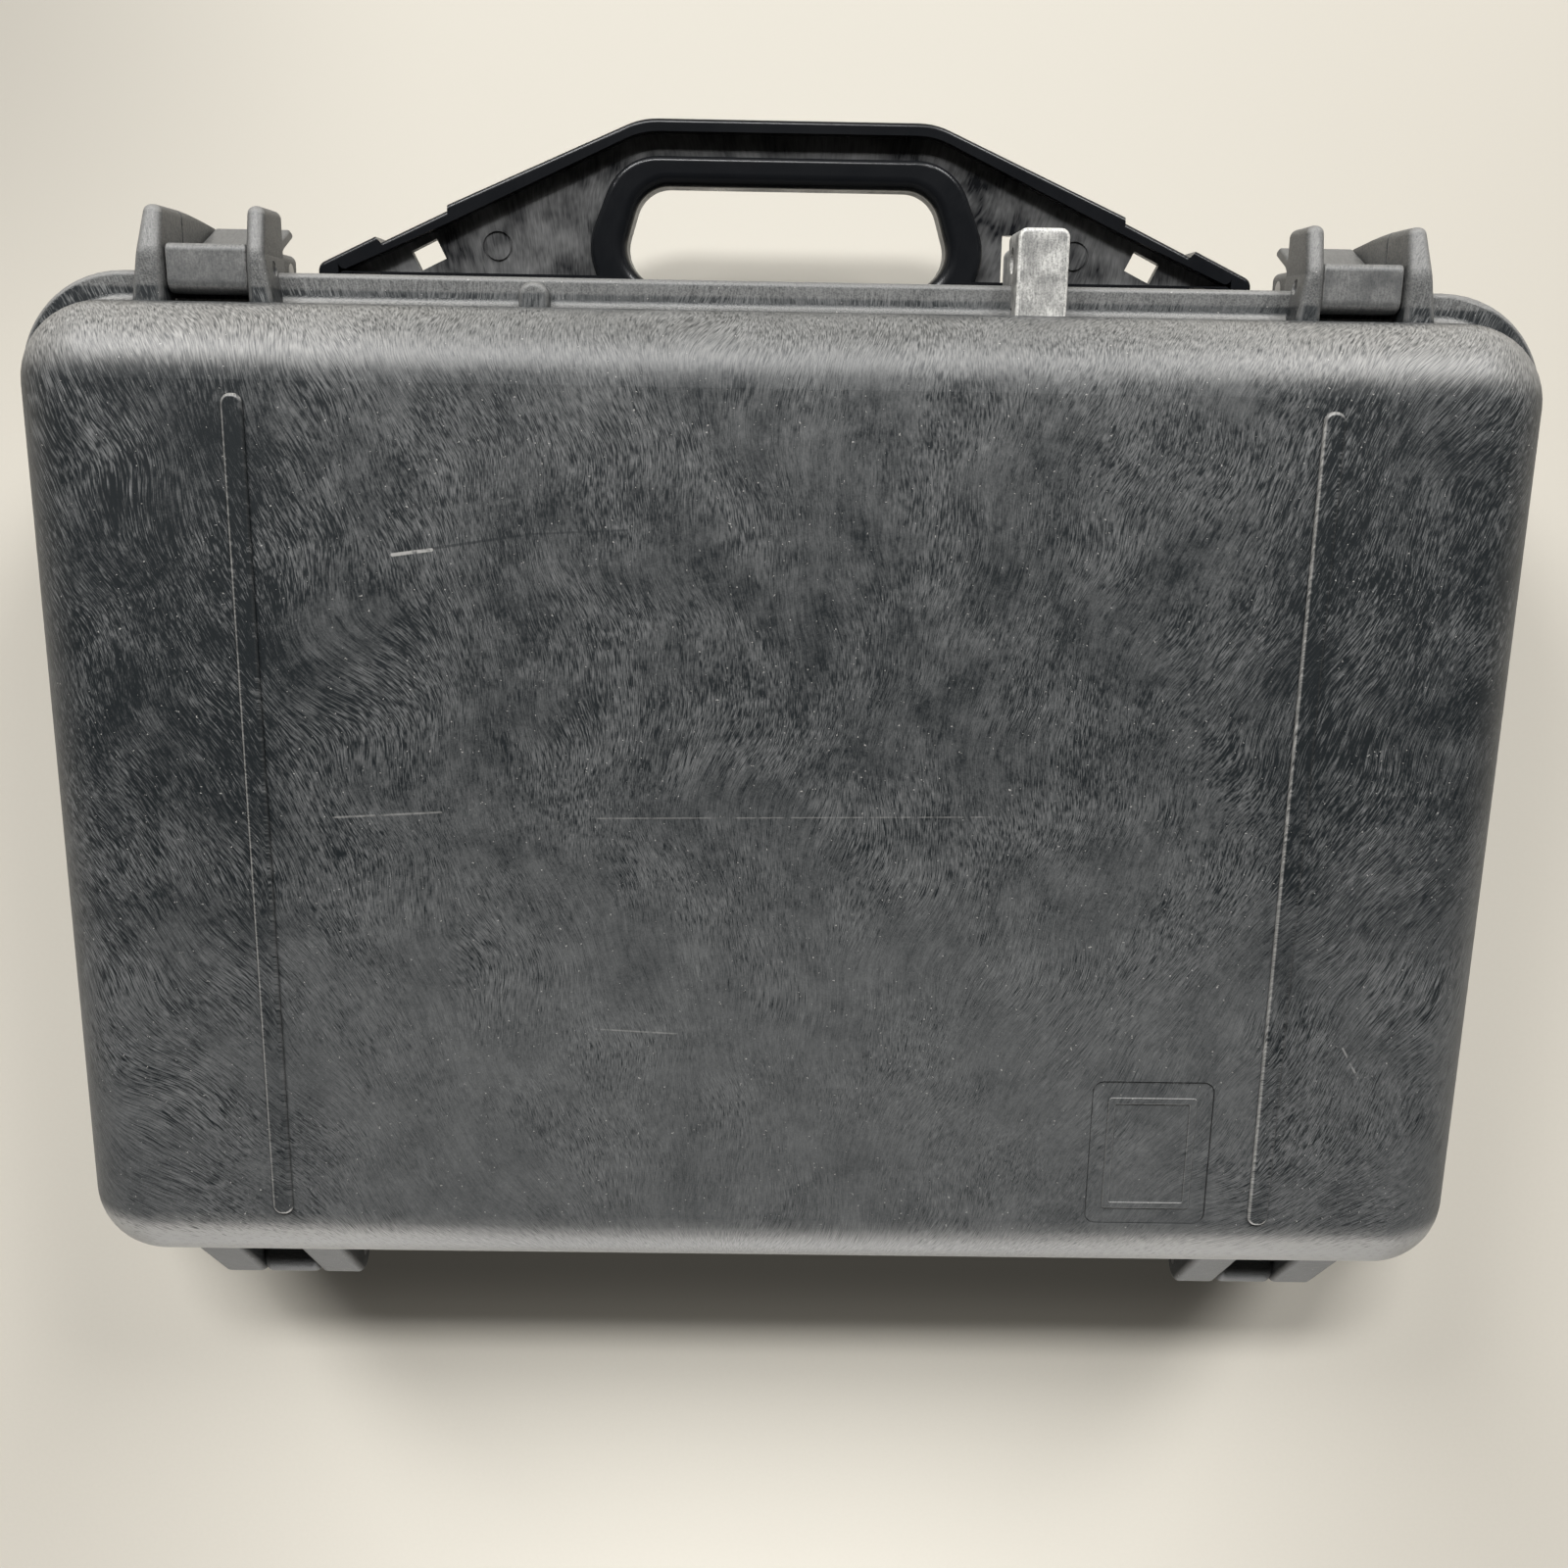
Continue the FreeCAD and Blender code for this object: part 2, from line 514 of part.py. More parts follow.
def make_base():
    body = new_body("base_shell")
    shell(body, "rib_rise", "base_depth", f"{BASE_RIM} - flange_high", BASE_RIM, "rib_rise", -1)
    ears = sketch_on(body, "XY_Plane", f"{BASE_RIM} - ear_step")
    stubs = sketch_on(body, "XY_Plane", BASE_RIM)
    for _, sign in SIDES:
        outer_ear(ears, sign)
        inner_ear(stubs, sign, "stub_out")
    pad(body, ears, "ear_drop - ear_step", back=True)
    pad(body, stubs, "catch_drop + stub_foot", back=True)
    slope = sketch_on(body, "YZ_Plane", "-body_length / 2")
    outline(slope, [
        (front("ear_out"), BASE_RIM),
        (front("2 * ear_out"), BASE_RIM),
        (front("2 * ear_out"), f"{BASE_RIM} - 2 * ear_drop"),
        (front("flange_out"), f"{BASE_RIM} - ear_drop - ear_fall"),
        (front("(ear_out - ear_fall)"), f"{BASE_RIM} - ear_drop + 2 * ear_fall", "2 * ear_fall"),
    ])
    cut(body, slope, "body_length")
    slope_in = "(3 * wall_thick / 4)"
    slope_high = f"(barrel_round * sqrt(2) + hinge_out + {slope_in})"
    for _, sign in SIDES:
        start = f"{sign} * {HINGE_X} - lug_gap / 2 + lug_play"
        hinge_lug(body, start, "lug_gap - 2 * lug_play", BASE_RIM, slope_in, slope_high, -1)
        bore(body, start, "lug_gap", rear("hinge_out"), HINGE_Z, "pin_round + pin_fit")
        start = f"{sign} * {BOSS_X} - boss_wide / 2"
        boss = sketch_on(body, "YZ_Plane", start)
        boss_tip = front("(hinge_foot + boss_round)")
        outline(boss, [
            (front(f"-{EMBED}"), f"{HANDLE_PIVOT_Z} - 2 * boss_round"),
            (front("hinge_foot / 4"), f"{HANDLE_PIVOT_Z} - boss_round", "boss_round / 2"),
            (boss_tip, f"{HANDLE_PIVOT_Z} - boss_round", f"{FULL_ROUND} * boss_round"),
            (boss_tip, f"{HANDLE_PIVOT_Z} + boss_round", f"{FULL_ROUND} * boss_round"),
            (front(f"-{EMBED}"), f"{HANDLE_PIVOT_Z} + boss_round"),
        ])
        pad(body, boss, "boss_wide")
        bore(body, start, "boss_wide", front("hinge_foot"), HANDLE_PIVOT_Z, "pin_round + pin_fit")
        reach = f"({EAR_ROOM} / 2 + ear_foot + pin_round)"
        bore(body, f"{sign} * {LATCH_X} - {reach}", f"2 * {reach}", front("pivot_out"), CATCH_Z,
             "catch_round + pin_fit")
    vent = sketch_on(body, "XZ_Plane", "body_width / 2")
    circle(vent, "0", "vent_high", "vent_sleeve + pin_fit")
    cut(body, vent, "wall_thick", back=True)


def make_seal():
    body = new_body("lid_seal")
    ring = sketch_on(body, "XY_Plane", f"{LID_RIM} - parting_gap / 3")
    body_outline(ring, "seal_out - seal_play")
    body_outline(ring, "seal_play - seal_in")
    pad(body, ring, "seal_deep + parting_gap / 3 - seal_play")


def make_badge():
    """A plain plate, sunk in the lid face, with a raised frame."""
    body = new_body("badge_plate")
    plate = sketch_on(body, "XY_Plane", f"{LID_FACE} - badge_deep")
    badge_rectangle(plate, "badge_wide - 2 * badge_play", "badge_long - 2 * badge_play",
                    "badge_round - badge_play")
    pad(body, plate, "badge_deep - badge_sink")
    frame = sketch_on(body, "XY_Plane", f"{LID_FACE} - badge_sink")
    badge_rectangle(frame, "panel_wide", "panel_long", "panel_frame / 2")
    badge_rectangle(frame, "panel_wide - 2 * panel_frame", "panel_long - 2 * panel_frame",
                    "panel_frame / 4")
    pad(body, frame, "badge_sink")
    frame_top = value(LID_FACE)
    round_edges(body, "badge_sink / 2", lambda box: level(box, frame_top))


def make_latch(side, sign):
    """Lever with a block on the pivot, a hook under the catch bar and a lip for the fingers."""
    body = new_body(f"latch_lever_{side}")
    start = f"{sign} * {LATCH_X} - latch_wide / 2"
    plate_in = "(catch_round + catch_play)"
    plate_out = "(catch_round + catch_play + lever_thick)"
    hook_top = f"({CATCH_Z} - catch_round - catch_play)"
    lip_z = f"({PIVOT_Z} - lip_drop)"
    profile = sketch_on(body, "YZ_Plane", start)
    outline(profile, [
        (front("(pivot_out - block_in)"), f"{PIVOT_Z} + pivot_block", "block_round"),
        (front("(pivot_out - block_in)"), f"{PIVOT_Z} - pivot_block", "block_round"),
        (front(f"(pivot_out + {plate_in})"), f"{PIVOT_Z} - pivot_block"),
        (front(f"(pivot_out + {plate_in})"), hook_top, "catch_play"),
        (front("(pivot_out - hook_reach)"), hook_top, "catch_play"),
        (front("(pivot_out - hook_reach)"), f"{hook_top} - hook_thick", "hook_thick / 2"),
        (front(f"(pivot_out + {plate_out})"), f"{hook_top} - hook_thick - lip_thick", "2 * lip_thick"),
        (front("(pivot_out + lip_out - lip_thick / 2)"), f"{lip_z} - lip_thick / 2", "lip_thick / 3"),
        (front("(pivot_out + lip_out)"), f"{lip_z} + lip_thick", "lip_thick / 3"),
        (front(f"(pivot_out + {plate_out} + catch_play)"), hook_top, "4 * lip_thick"),
        (front("(pivot_out + pivot_block)"), f"{PIVOT_Z} + pivot_block", "pivot_block / 3"),
    ])
    pad(body, profile, "latch_wide")
    faces = (value(start), value(f"{start} + latch_wide"))
    inner_y = value(front("(pivot_out - pivot_block / 2)"))
    outer_y = value(front(f"(pivot_out + {plate_out})"))
    lip_top = value(f"{lip_z} + lip_thick")
    round_edges(body, "lever_round", lambda box: any(same(box.XMin, x) and same(box.XMax, x) for x in faces)
                and box.YMin < outer_y and box.YMax < inner_y and box.ZMax > lip_top - TINY)
    bore(body, start, "latch_wide", front("pivot_out"), PIVOT_Z, "pin_round + pin_fit")


def make_handle():
    body = new_body("handle")
    slab = sketch_on(body, "XY_Plane", HANDLE_LOW)
    half = [
        (HANDLE_HALF, "handle_foot", None),
        (HANDLE_HALF, "handle_tip", "bar_round"),
        (f"{STRAP_OUTER} + strap_step / 2", "slope_low", None),
        (f"{STRAP_OUTER} - strap_step / 2", "slope_low - strap_step", None),
        (STRAP_INNER, "slope_high - strap_step", None),
        (STRAP_INNER, "slope_high", None),
        ("handle_shoulder", "handle_rise", "handle_turn"),
    ]
    outline(slab, mirrored_outline(half))
    pad(body, slab, "handle_thick")
    low, high = value(HANDLE_LOW), value(HANDLE_TOP)
    foot = value(front("handle_foot"))
    round_edges(body, "rim_round", lambda box: (level(box, low) or level(box, high))
                and box.YMin < foot - TINY and box.XLength > value("strap_step"))
    rise = f"((handle_rise - slope_high) / ({STRAP_INNER} - handle_shoulder))"
    recess_end = f"({BOSS_X} + boss_wide / 2 + boss_play + rim_thick)"
    recess_top = "handle_rise - rim_thick"
    inside = [
        (recess_end, "bar_top", "rim_thick / 2"),
        (recess_end, f"{recess_top} - {rise} * ({recess_end} - handle_shoulder) - strap_step",
         "rim_thick / 2"),
        (STRAP_INNER, f"{recess_top} - {rise} * ({STRAP_INNER} - handle_shoulder) - strap_step",
         "rim_thick"),
        ("handle_shoulder", recess_top, "handle_turn"),
    ]
    web_room = "(handle_thick - web_thick) / 2"
    for height, back in ((HANDLE_LOW, False), (HANDLE_TOP, True)):
        recess = sketch_on(body, "XY_Plane", height)
        outline(recess, mirrored_outline(inside))
        cut(body, recess, web_room, back=back)
    collar = sketch_on(body, "XY_Plane", HANDLE_LOW)
    outline(collar, mirrored_outline([
        ("grip_foot + grip_collar / 4", "handle_foot", None),
        ("grip_foot + grip_collar", "grip_low + grip_turn", "2 * grip_collar"),
        ("grip_top + collar_top", "grip_high + grip_collar", "2 * grip_collar"),
    ]))
    pad(body, collar, "handle_thick")
    collar_x = value("grip_foot + grip_collar")
    collar_foot = value(front("bar_top")) + TINY
    collar_crest = value(front("(grip_high + grip_collar)")) - TINY
    round_edges(body, "collar_round", lambda box: (level(box, low) or level(box, high))
                and box.XMax < collar_x and box.XMin > -collar_x
                and box.YMin > collar_crest and box.YMax < collar_foot)
    round_edges(body, "bar_round", lambda box: same(box.YMin, foot) and same(box.YMax, foot)
                and (level(box, low) or level(box, high)))
    grip = sketch_on(body, "XY_Plane", HANDLE_LOW)
    outline(grip, mirrored_outline([
        ("grip_foot", "grip_low", "grip_turn"),
        ("grip_top", "grip_high", "grip_turn"),
    ]))
    cut(body, grip, "handle_thick")
    grip_x, grip_y = value("grip_foot"), value(front("grip_high")) - TINY
    round_edges(body, "grip_round", lambda box: (level(box, low) or level(box, high))
                and box.XMax < grip_x and box.XMin > -grip_x
                and box.YMin > grip_y and box.YMax < foot - TINY)
    for _, sign in SIDES:
        cut_handle_side(body, sign)
    staple = sketch_on(body, "XY_Plane", HANDLE_LOW)
    staple_room = "(staple_wide / 2 + staple_play)"
    rectangle(staple, f"-hasp_side - {staple_room}", f"-hasp_side + {staple_room}",
              front("slot_top"), front("0"))
    cut(body, staple, "handle_thick")


def mirrored_outline(half):
    """An outline in front of the case, from corners of (x, out, radius) on its +X half."""
    right = [(x, front(f"({out})"), radius) for x, out, radius in half]
    left = [(f"-({x})", y, radius) for x, y, radius in reversed(right)]
    return [corner if corner[2] else corner[:2] for corner in right + left]


def cut_handle_side(body, sign):
    """Strap hole, round mark, boss notch and pin bore at one end of the handle."""
    strap = sketch_on(body, "XY_Plane", HANDLE_LOW)
    corners = []
    for along, across in ((-1, -1), (1, -1), (1, 1), (-1, 1)):
        half_long, half_wide = f"{along} * slot_long / 2", f"{across} * slot_wide / 2"
        x = f"({HANDLE_HALF} - slot_end + {half_long} * cos(slot_turn) + {half_wide} * sin(slot_turn))"
        out = f"(slot_out - {half_long} * sin(slot_turn) + {half_wide} * cos(slot_turn))"
        corners.append((f"{sign} * {x}", front(out)))
    outline(strap, corners)
    cut(body, strap, "handle_thick")
    mark = sketch_on(body, "XY_Plane", f"({HANDLE_TOP} + {HANDLE_LOW} + web_thick) / 2")
    for radius in ("mark_round", "mark_round - mark_line"):
        circle(mark, f"{sign} * ({HANDLE_HALF} - mark_end)", front("mark_out"), radius)
    cut(body, mark, "mark_deep", back=True)
    notch = sketch_on(body, "XY_Plane", HANDLE_LOW)
    boss_room = "(boss_wide / 2 + boss_play)"
    rectangle(notch, f"{sign} * {BOSS_X} - {boss_room}", f"{sign} * {BOSS_X} + {boss_room}",
              front("(hinge_foot + boss_round + boss_play)"), front("0"))
    cut(body, notch, "handle_thick")
    start = f"{sign} * {BOSS_X} - handle_pin / 2"
    bore(body, start, "handle_pin", front("hinge_foot"), HANDLE_PIVOT_Z, "pin_round + pin_fit")


def round_block(body, tip, face):
    """Rounds a hasp block's upright corners at its tip, then the edges round its end face."""
    tip_y, face_z, wall_y = value(tip), value(face), value(front("0"))
    round_edges(body, "hasp_round", lambda box: same(box.YMin, tip_y) and same(box.YMax, tip_y)
                and same(box.XMin, box.XMax))
    round_edges(body, "hasp_edge", lambda box: level(box, face_z) and box.YMin < wall_y - TINY)


def seat_on_flange(body, rim, half_wide, back):
    """Cuts a hasp block to fit over the flange and the rounding at the flange's foot."""
    for reach, high in (("flange_out", "flange_high"), ("flange_foot", "flange_high + flange_foot")):
        seat = sketch_on(body, "XY_Plane", rim)
        rectangle(seat, f"-hasp_side - {half_wide}", f"-hasp_side + {half_wide}",
                  front(reach), front("-wall_thick"))
        cut(body, seat, high, back=back)


def make_hasp_hood():
    """Forked block on the lid that takes the base's tongue between its cheeks."""
    body = new_body("hasp_hood")
    block = sketch_on(body, "XY_Plane", LID_RIM)
    rectangle(block, "-hasp_side - hasp_wide / 2", "-hasp_side + hasp_wide / 2",
              front("hasp_out"), front("0"))
    pad(body, block, "hasp_high")
    round_block(body, front("hasp_out"), f"{LID_RIM} + hasp_high")
    seat_on_flange(body, LID_RIM, "hasp_wide", back=False)
    slot = sketch_on(body, "XY_Plane", LID_RIM)
    tongue_room = "(tongue_wide / 2 + tongue_play)"
    rectangle(slot, f"-hasp_side - {tongue_room}", f"-hasp_side + {tongue_room}",
              front("2 * hasp_out"), front("-wall_thick"))
    cut(body, slot, "hasp_high - hasp_roof")
    bore(body, "-hasp_side - hasp_wide / 2", "hasp_wide", front("shackle_out"), SHACKLE_Z, "shackle_round")


def make_hasp_staple():
    """Lug under the base flange with a tongue that stands up into the hood."""
    body = new_body("hasp_staple")
    lug = sketch_on(body, "XY_Plane", f"{BASE_RIM} - staple_drop")
    rectangle(lug, "-hasp_side - staple_wide / 2", "-hasp_side + staple_wide / 2",
              front("staple_out"), front("0"))
    pad(body, lug, "staple_drop")
    round_block(body, front("staple_out"), f"{BASE_RIM} - staple_drop")
    seat_on_flange(body, BASE_RIM, "staple_wide", back=True)
    tongue = sketch_on(body, "YZ_Plane", "-hasp_side - tongue_wide / 2")
    tongue_top = f"{LID_RIM} + hasp_high - hasp_roof - tongue_play"
    outline(tongue, [
        (front("(flange_out + tongue_play)"), f"{BASE_RIM} - flange_high"),
        (front("(flange_out + tongue_play)"), tongue_top, "hasp_round"),
        (front("tongue_out"), tongue_top, "hasp_round"),
        (front("tongue_out"), LID_RIM),
        (front("(staple_out - hasp_round)"), f"{BASE_RIM} - flange_high"),
    ])
    pad(body, tongue, "tongue_wide")
    bore(body, "-hasp_side - tongue_wide / 2", "tongue_wide", front("shackle_out"), SHACKLE_Z,
         "shackle_round")


def make_vent():
    """Knob with a stem, a washer under the knob and a bushing in the wall, all on one axis along Y."""
    knob = new_body("vent_knob")
    head = sketch_on(knob, "XZ_Plane", "body_width / 2 + vent_seal")
    circle(head, "0", "vent_high", "vent_round")
    pad(knob, head, "vent_thick")
    crown = value(front("(vent_seal + vent_thick)"))
    round_edges(knob, "vent_round / 4", lambda box: same(box.YMin, crown) and same(box.YMax, crown))
    stem = sketch_on(knob, "XZ_Plane", "body_width / 2 + vent_seal")
    circle(stem, "0", "vent_high", "vent_stem")
    pad(knob, stem, "vent_seal + wall_thick + 2 * vent_foot", back=True)
    for step in range(FLUTES):
        flute = sketch_on(knob, "XZ_Plane", "body_width / 2 + vent_seal")
        turn = 360 * step / FLUTES
        circle(flute, f"vent_round * cos({turn})", f"vent_high + vent_round * sin({turn})", "flute_round")
        cut(knob, flute, "vent_thick")
    washer = new_body("vent_seal")
    ring = sketch_on(washer, "XZ_Plane", "body_width / 2")
    circle(ring, "0", "vent_high", "vent_round - flute_round")
    circle(ring, "0", "vent_high", "vent_stem + seal_play")
    pad(washer, ring, "vent_seal")
    bushing = new_body("vent_bushing")
    collar = sketch_on(bushing, "XZ_Plane", "body_width / 2 - wall_thick - vent_foot")
    circle(collar, "0", "vent_high", "vent_collar")
    pad(bushing, collar, "vent_foot")
    sleeve = sketch_on(bushing, "XZ_Plane", "body_width / 2 - wall_thick")
    circle(sleeve, "0", "vent_high", "vent_sleeve")
    pad(bushing, sleeve, "wall_thick")
    hole = sketch_on(bushing, "XZ_Plane", "body_width / 2")
    circle(hole, "0", "vent_high", "vent_stem + pin_fit")
    cut(bushing, hole, "wall_thick + vent_foot", back=True)


def make_pin(label, radius, length, centre, y, z):
    """A plain round pin along X."""
    pin = doc.addObject("Part::Cylinder", label)
    pin.Label = label
    pin.setExpression("Radius", ex(radius))
    pin.setExpression("Height", ex(length))
    pin.Placement = FreeCAD.Placement(FreeCAD.Vector(), FreeCAD.Rotation(FreeCAD.Vector(0, 1, 0), 90))
    pin.setExpression("Placement.Base.x", ex(f"{centre} - {length} / 2"))
    pin.setExpression("Placement.Base.y", ex(f"{y} + {MIDDLE}"))
    pin.setExpression("Placement.Base.z", ex(z))


def make_pins():
    for side, sign in SIDES:
        make_pin(f"hinge_pin_{side}", "pin_round", "(lug_gap + 2 * lug_wide)", f"{sign} * {HINGE_X}",
                 rear("hinge_out"), HINGE_Z)
        make_pin(f"latch_pin_{side}", "pin_round", f"({EAR_ROOM} + 2 * ear_tip)", f"{sign} * {LATCH_X}",
                 front("pivot_out"), PIVOT_Z)
        make_pin(f"catch_bar_{side}", "catch_round", f"({EAR_ROOM} + 2 * ear_tip)", f"{sign} * {LATCH_X}",
                 front("pivot_out"), CATCH_Z)
        make_pin(f"handle_pin_{side}", "pin_round", "handle_pin", f"{sign} * {BOSS_X}",
                 front("hinge_foot"), HANDLE_PIVOT_Z)


def write_parts():
    """Checks every object, then writes one STEP file for each sub-part."""
    doc.recompute()
    for item in doc.Objects:
        if "Invalid" in item.State or "Error" in item.State:
            raise RuntimeError(f"{item.Name} failed: {item.State}")
    os.makedirs("parts", exist_ok=True)
    for item in doc.Objects:
        if item.TypeId not in ("PartDesign::Body", "Part::Cylinder"):
            continue
        if item.Shape.isNull() or not item.Shape.isValid() or len(item.Shape.Solids) != 1:
            raise RuntimeError(f"{item.Label} is not one valid solid")
        item.Shape.exportStep(f"parts/{item.Label}.step")
        box = item.Shape.BoundBox
        print(f"{item.Label}: {item.Shape.Volume / 1000:.2f} cm3, "
              f"{box.XLength:.1f} x {box.YLength:.1f} x {box.ZLength:.1f} mm")


make_base()
make_lid()
make_seal()
make_badge()
for latch_name, latch_sign in SIDES:
    make_latch(latch_name, latch_sign)
make_handle()
make_hasp_hood()
make_hasp_staple()
make_vent()
make_pins()
write_parts()
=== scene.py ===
import math

import bpy
from bpy.props import FloatProperty, FloatVectorProperty, PointerProperty
from mathutils import Matrix, Vector


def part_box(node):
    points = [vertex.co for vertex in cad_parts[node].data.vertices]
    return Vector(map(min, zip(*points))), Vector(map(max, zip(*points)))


bl_info = {
    "name": "Hard Case Looks",
    "version": (1, 0, 0),
    "blender": (4, 5, 0),
    "location": "View3D > Sidebar > Hard Case",
    "description": "Worn plastic, steel, brass and rubber for a hard case, with floor, light and camera",
    "category": "Object",
}

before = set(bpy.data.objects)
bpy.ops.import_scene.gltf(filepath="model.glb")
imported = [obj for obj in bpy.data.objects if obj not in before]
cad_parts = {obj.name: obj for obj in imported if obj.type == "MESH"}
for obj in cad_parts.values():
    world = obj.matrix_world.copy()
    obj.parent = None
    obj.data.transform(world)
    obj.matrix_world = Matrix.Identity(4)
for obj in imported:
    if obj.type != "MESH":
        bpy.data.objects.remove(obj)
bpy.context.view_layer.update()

# Heights and lines of the case that its finishes follow, in metres, read from the frame.
LID_LOW, LID_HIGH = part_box("lid_shell")
BASE_LOW, BASE_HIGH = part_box("base_shell")
HANDLE_LOW, HANDLE_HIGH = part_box("handle")
SEAL_LOW, SEAL_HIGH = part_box("lid_seal")
BADGE_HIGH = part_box("badge_plate")[1]
LID_FACE = BADGE_HIGH.z
BASE_FACE = BASE_LOW.z + LID_HIGH.z - LID_FACE
BODY_HALF_LENGTH = (SEAL_HIGH.x - SEAL_LOW.x) / 2
BODY_FRONT = SEAL_LOW.y
BODY_REAR = SEAL_HIGH.y
BODY_MIDDLE = (BODY_FRONT + BODY_REAR) / 2
FLANGE_OUT = LID_HIGH.x - BODY_HALF_LENGTH
FLANGE_HIGH = 0.008
RIB_SIDE = 0.143

# Zones of the finishes, in metres: where an effect begins and where it is full.
CALM_ZONE = (-0.03, 0.09)
LATCH_ZONE = (-0.05, -0.10)
OUTER_ZONE = (0.115, 0.165)
COMBED_ZONE = (0.06, 0.15)
LEFT_ZONE = (0.05, 0.16)
CORNER_ZONE = (0.06, 0.16)
RIB_HALO = (0.004, 0.016)
RIB_RISE = (0.0001, 0.0004)
LUG_STEP = 0.002
EDGE_STEP = 0.001
BODY_EDGE = (0.0002, 0.0015)
EAR_ROOT = (0.0035, 0.0045)
HANDLE_RECESS = (0.0022, 0.0050)
FACE_SKIN = (-0.001, -0.0005)

# Zones of the floor and of the painted shade on it, in metres from the middle of the case.
FLOOR_REACH = 6.0
FLOOR_DEPTH = (-0.25, 0.30)
FLOOR_SIDES = (0.02, 0.32)
# Zones of the painted shade in one corner and of the painted shadow along the hinge.
DIM_CORNER_X = (0.10, 0.28)
DIM_CORNER_Y = (-0.05, -0.24)
DIM_HINGE_X = (0.20, 0.16)
DIM_HINGE_START = (0.0, 0.05)
DIM_HINGE_END = (0.245, 0.215)
HAZE_ZONE = (0.40, 1.0)
SKY_FADE = 0.25

# Scratches on the lid face: start, end, half width, strength.
PALE_SCRATCHES = [
    ((0.1033, -0.0599), (0.0929, -0.0614), 0.00030, 0.75),
    ((0.1226, 0.0124), (0.0929, 0.0105), 0.00018, 0.30),
    ((0.0498, 0.0116), (-0.0584, 0.0096), 0.00012, 0.22),
    ((0.0510, 0.0739), (0.0281, 0.0750), 0.00015, 0.25),
    ((-0.1630, 0.0769), (-0.1682, 0.0859), 0.00018, 0.35),
]
DARK_SCRATCHES = [
    ((0.0929, -0.0617), (0.0670, -0.0659), 0.00022, 0.60),
    ((0.0670, -0.0659), (0.0411, -0.0674), 0.00018, 0.45),
    ((0.0845, -0.0640), (0.0847, -0.0490), 0.00020, 0.50),
]

# Lamps: name, property with the power, place, width and height.
LAMPS = [
    ("key_lamp", "key_power", (0.2, -1.65, 2.05), (0.7, 0.2)),
    ("left_lamp", "side_power", (1.05, -1.85, 1.50), (0.6, 0.9)),
    ("right_lamp", "side_power", (-1.0, -1.85, 1.50), (0.6, 0.9)),
    ("fill_lamp", "fill_power", (0.0, 2.2, 0.12), (1.6, 0.2)),
]
PHOTO_SIZE = 1600
SENSOR = 36.0


def colour(name, description, default):
    return FloatVectorProperty(name=name, description=description, default=default, subtype="COLOR", size=3,
                               min=0.0, max=1.0)


def length(name, description, default):
    return FloatProperty(name=name, description=description, default=default, min=0.0, unit="LENGTH",
                         precision=5)


def share(name, description, default):
    return FloatProperty(name=name, description=description, default=default, min=0.0, max=1.0,
                         subtype="FACTOR")


def gain(name, description, default):
    return FloatProperty(name=name, description=description, default=default, min=0.0)


def turn(name, description, default):
    return FloatProperty(name=name, description=description, default=math.radians(default), subtype="ANGLE")


def power(name, description, default):
    return FloatProperty(name=name, description=description, default=default, min=0.0, subtype="POWER")


def spot(name, description, default):
    return FloatVectorProperty(name=name, description=description, default=default, subtype="TRANSLATION",
                               unit="LENGTH")


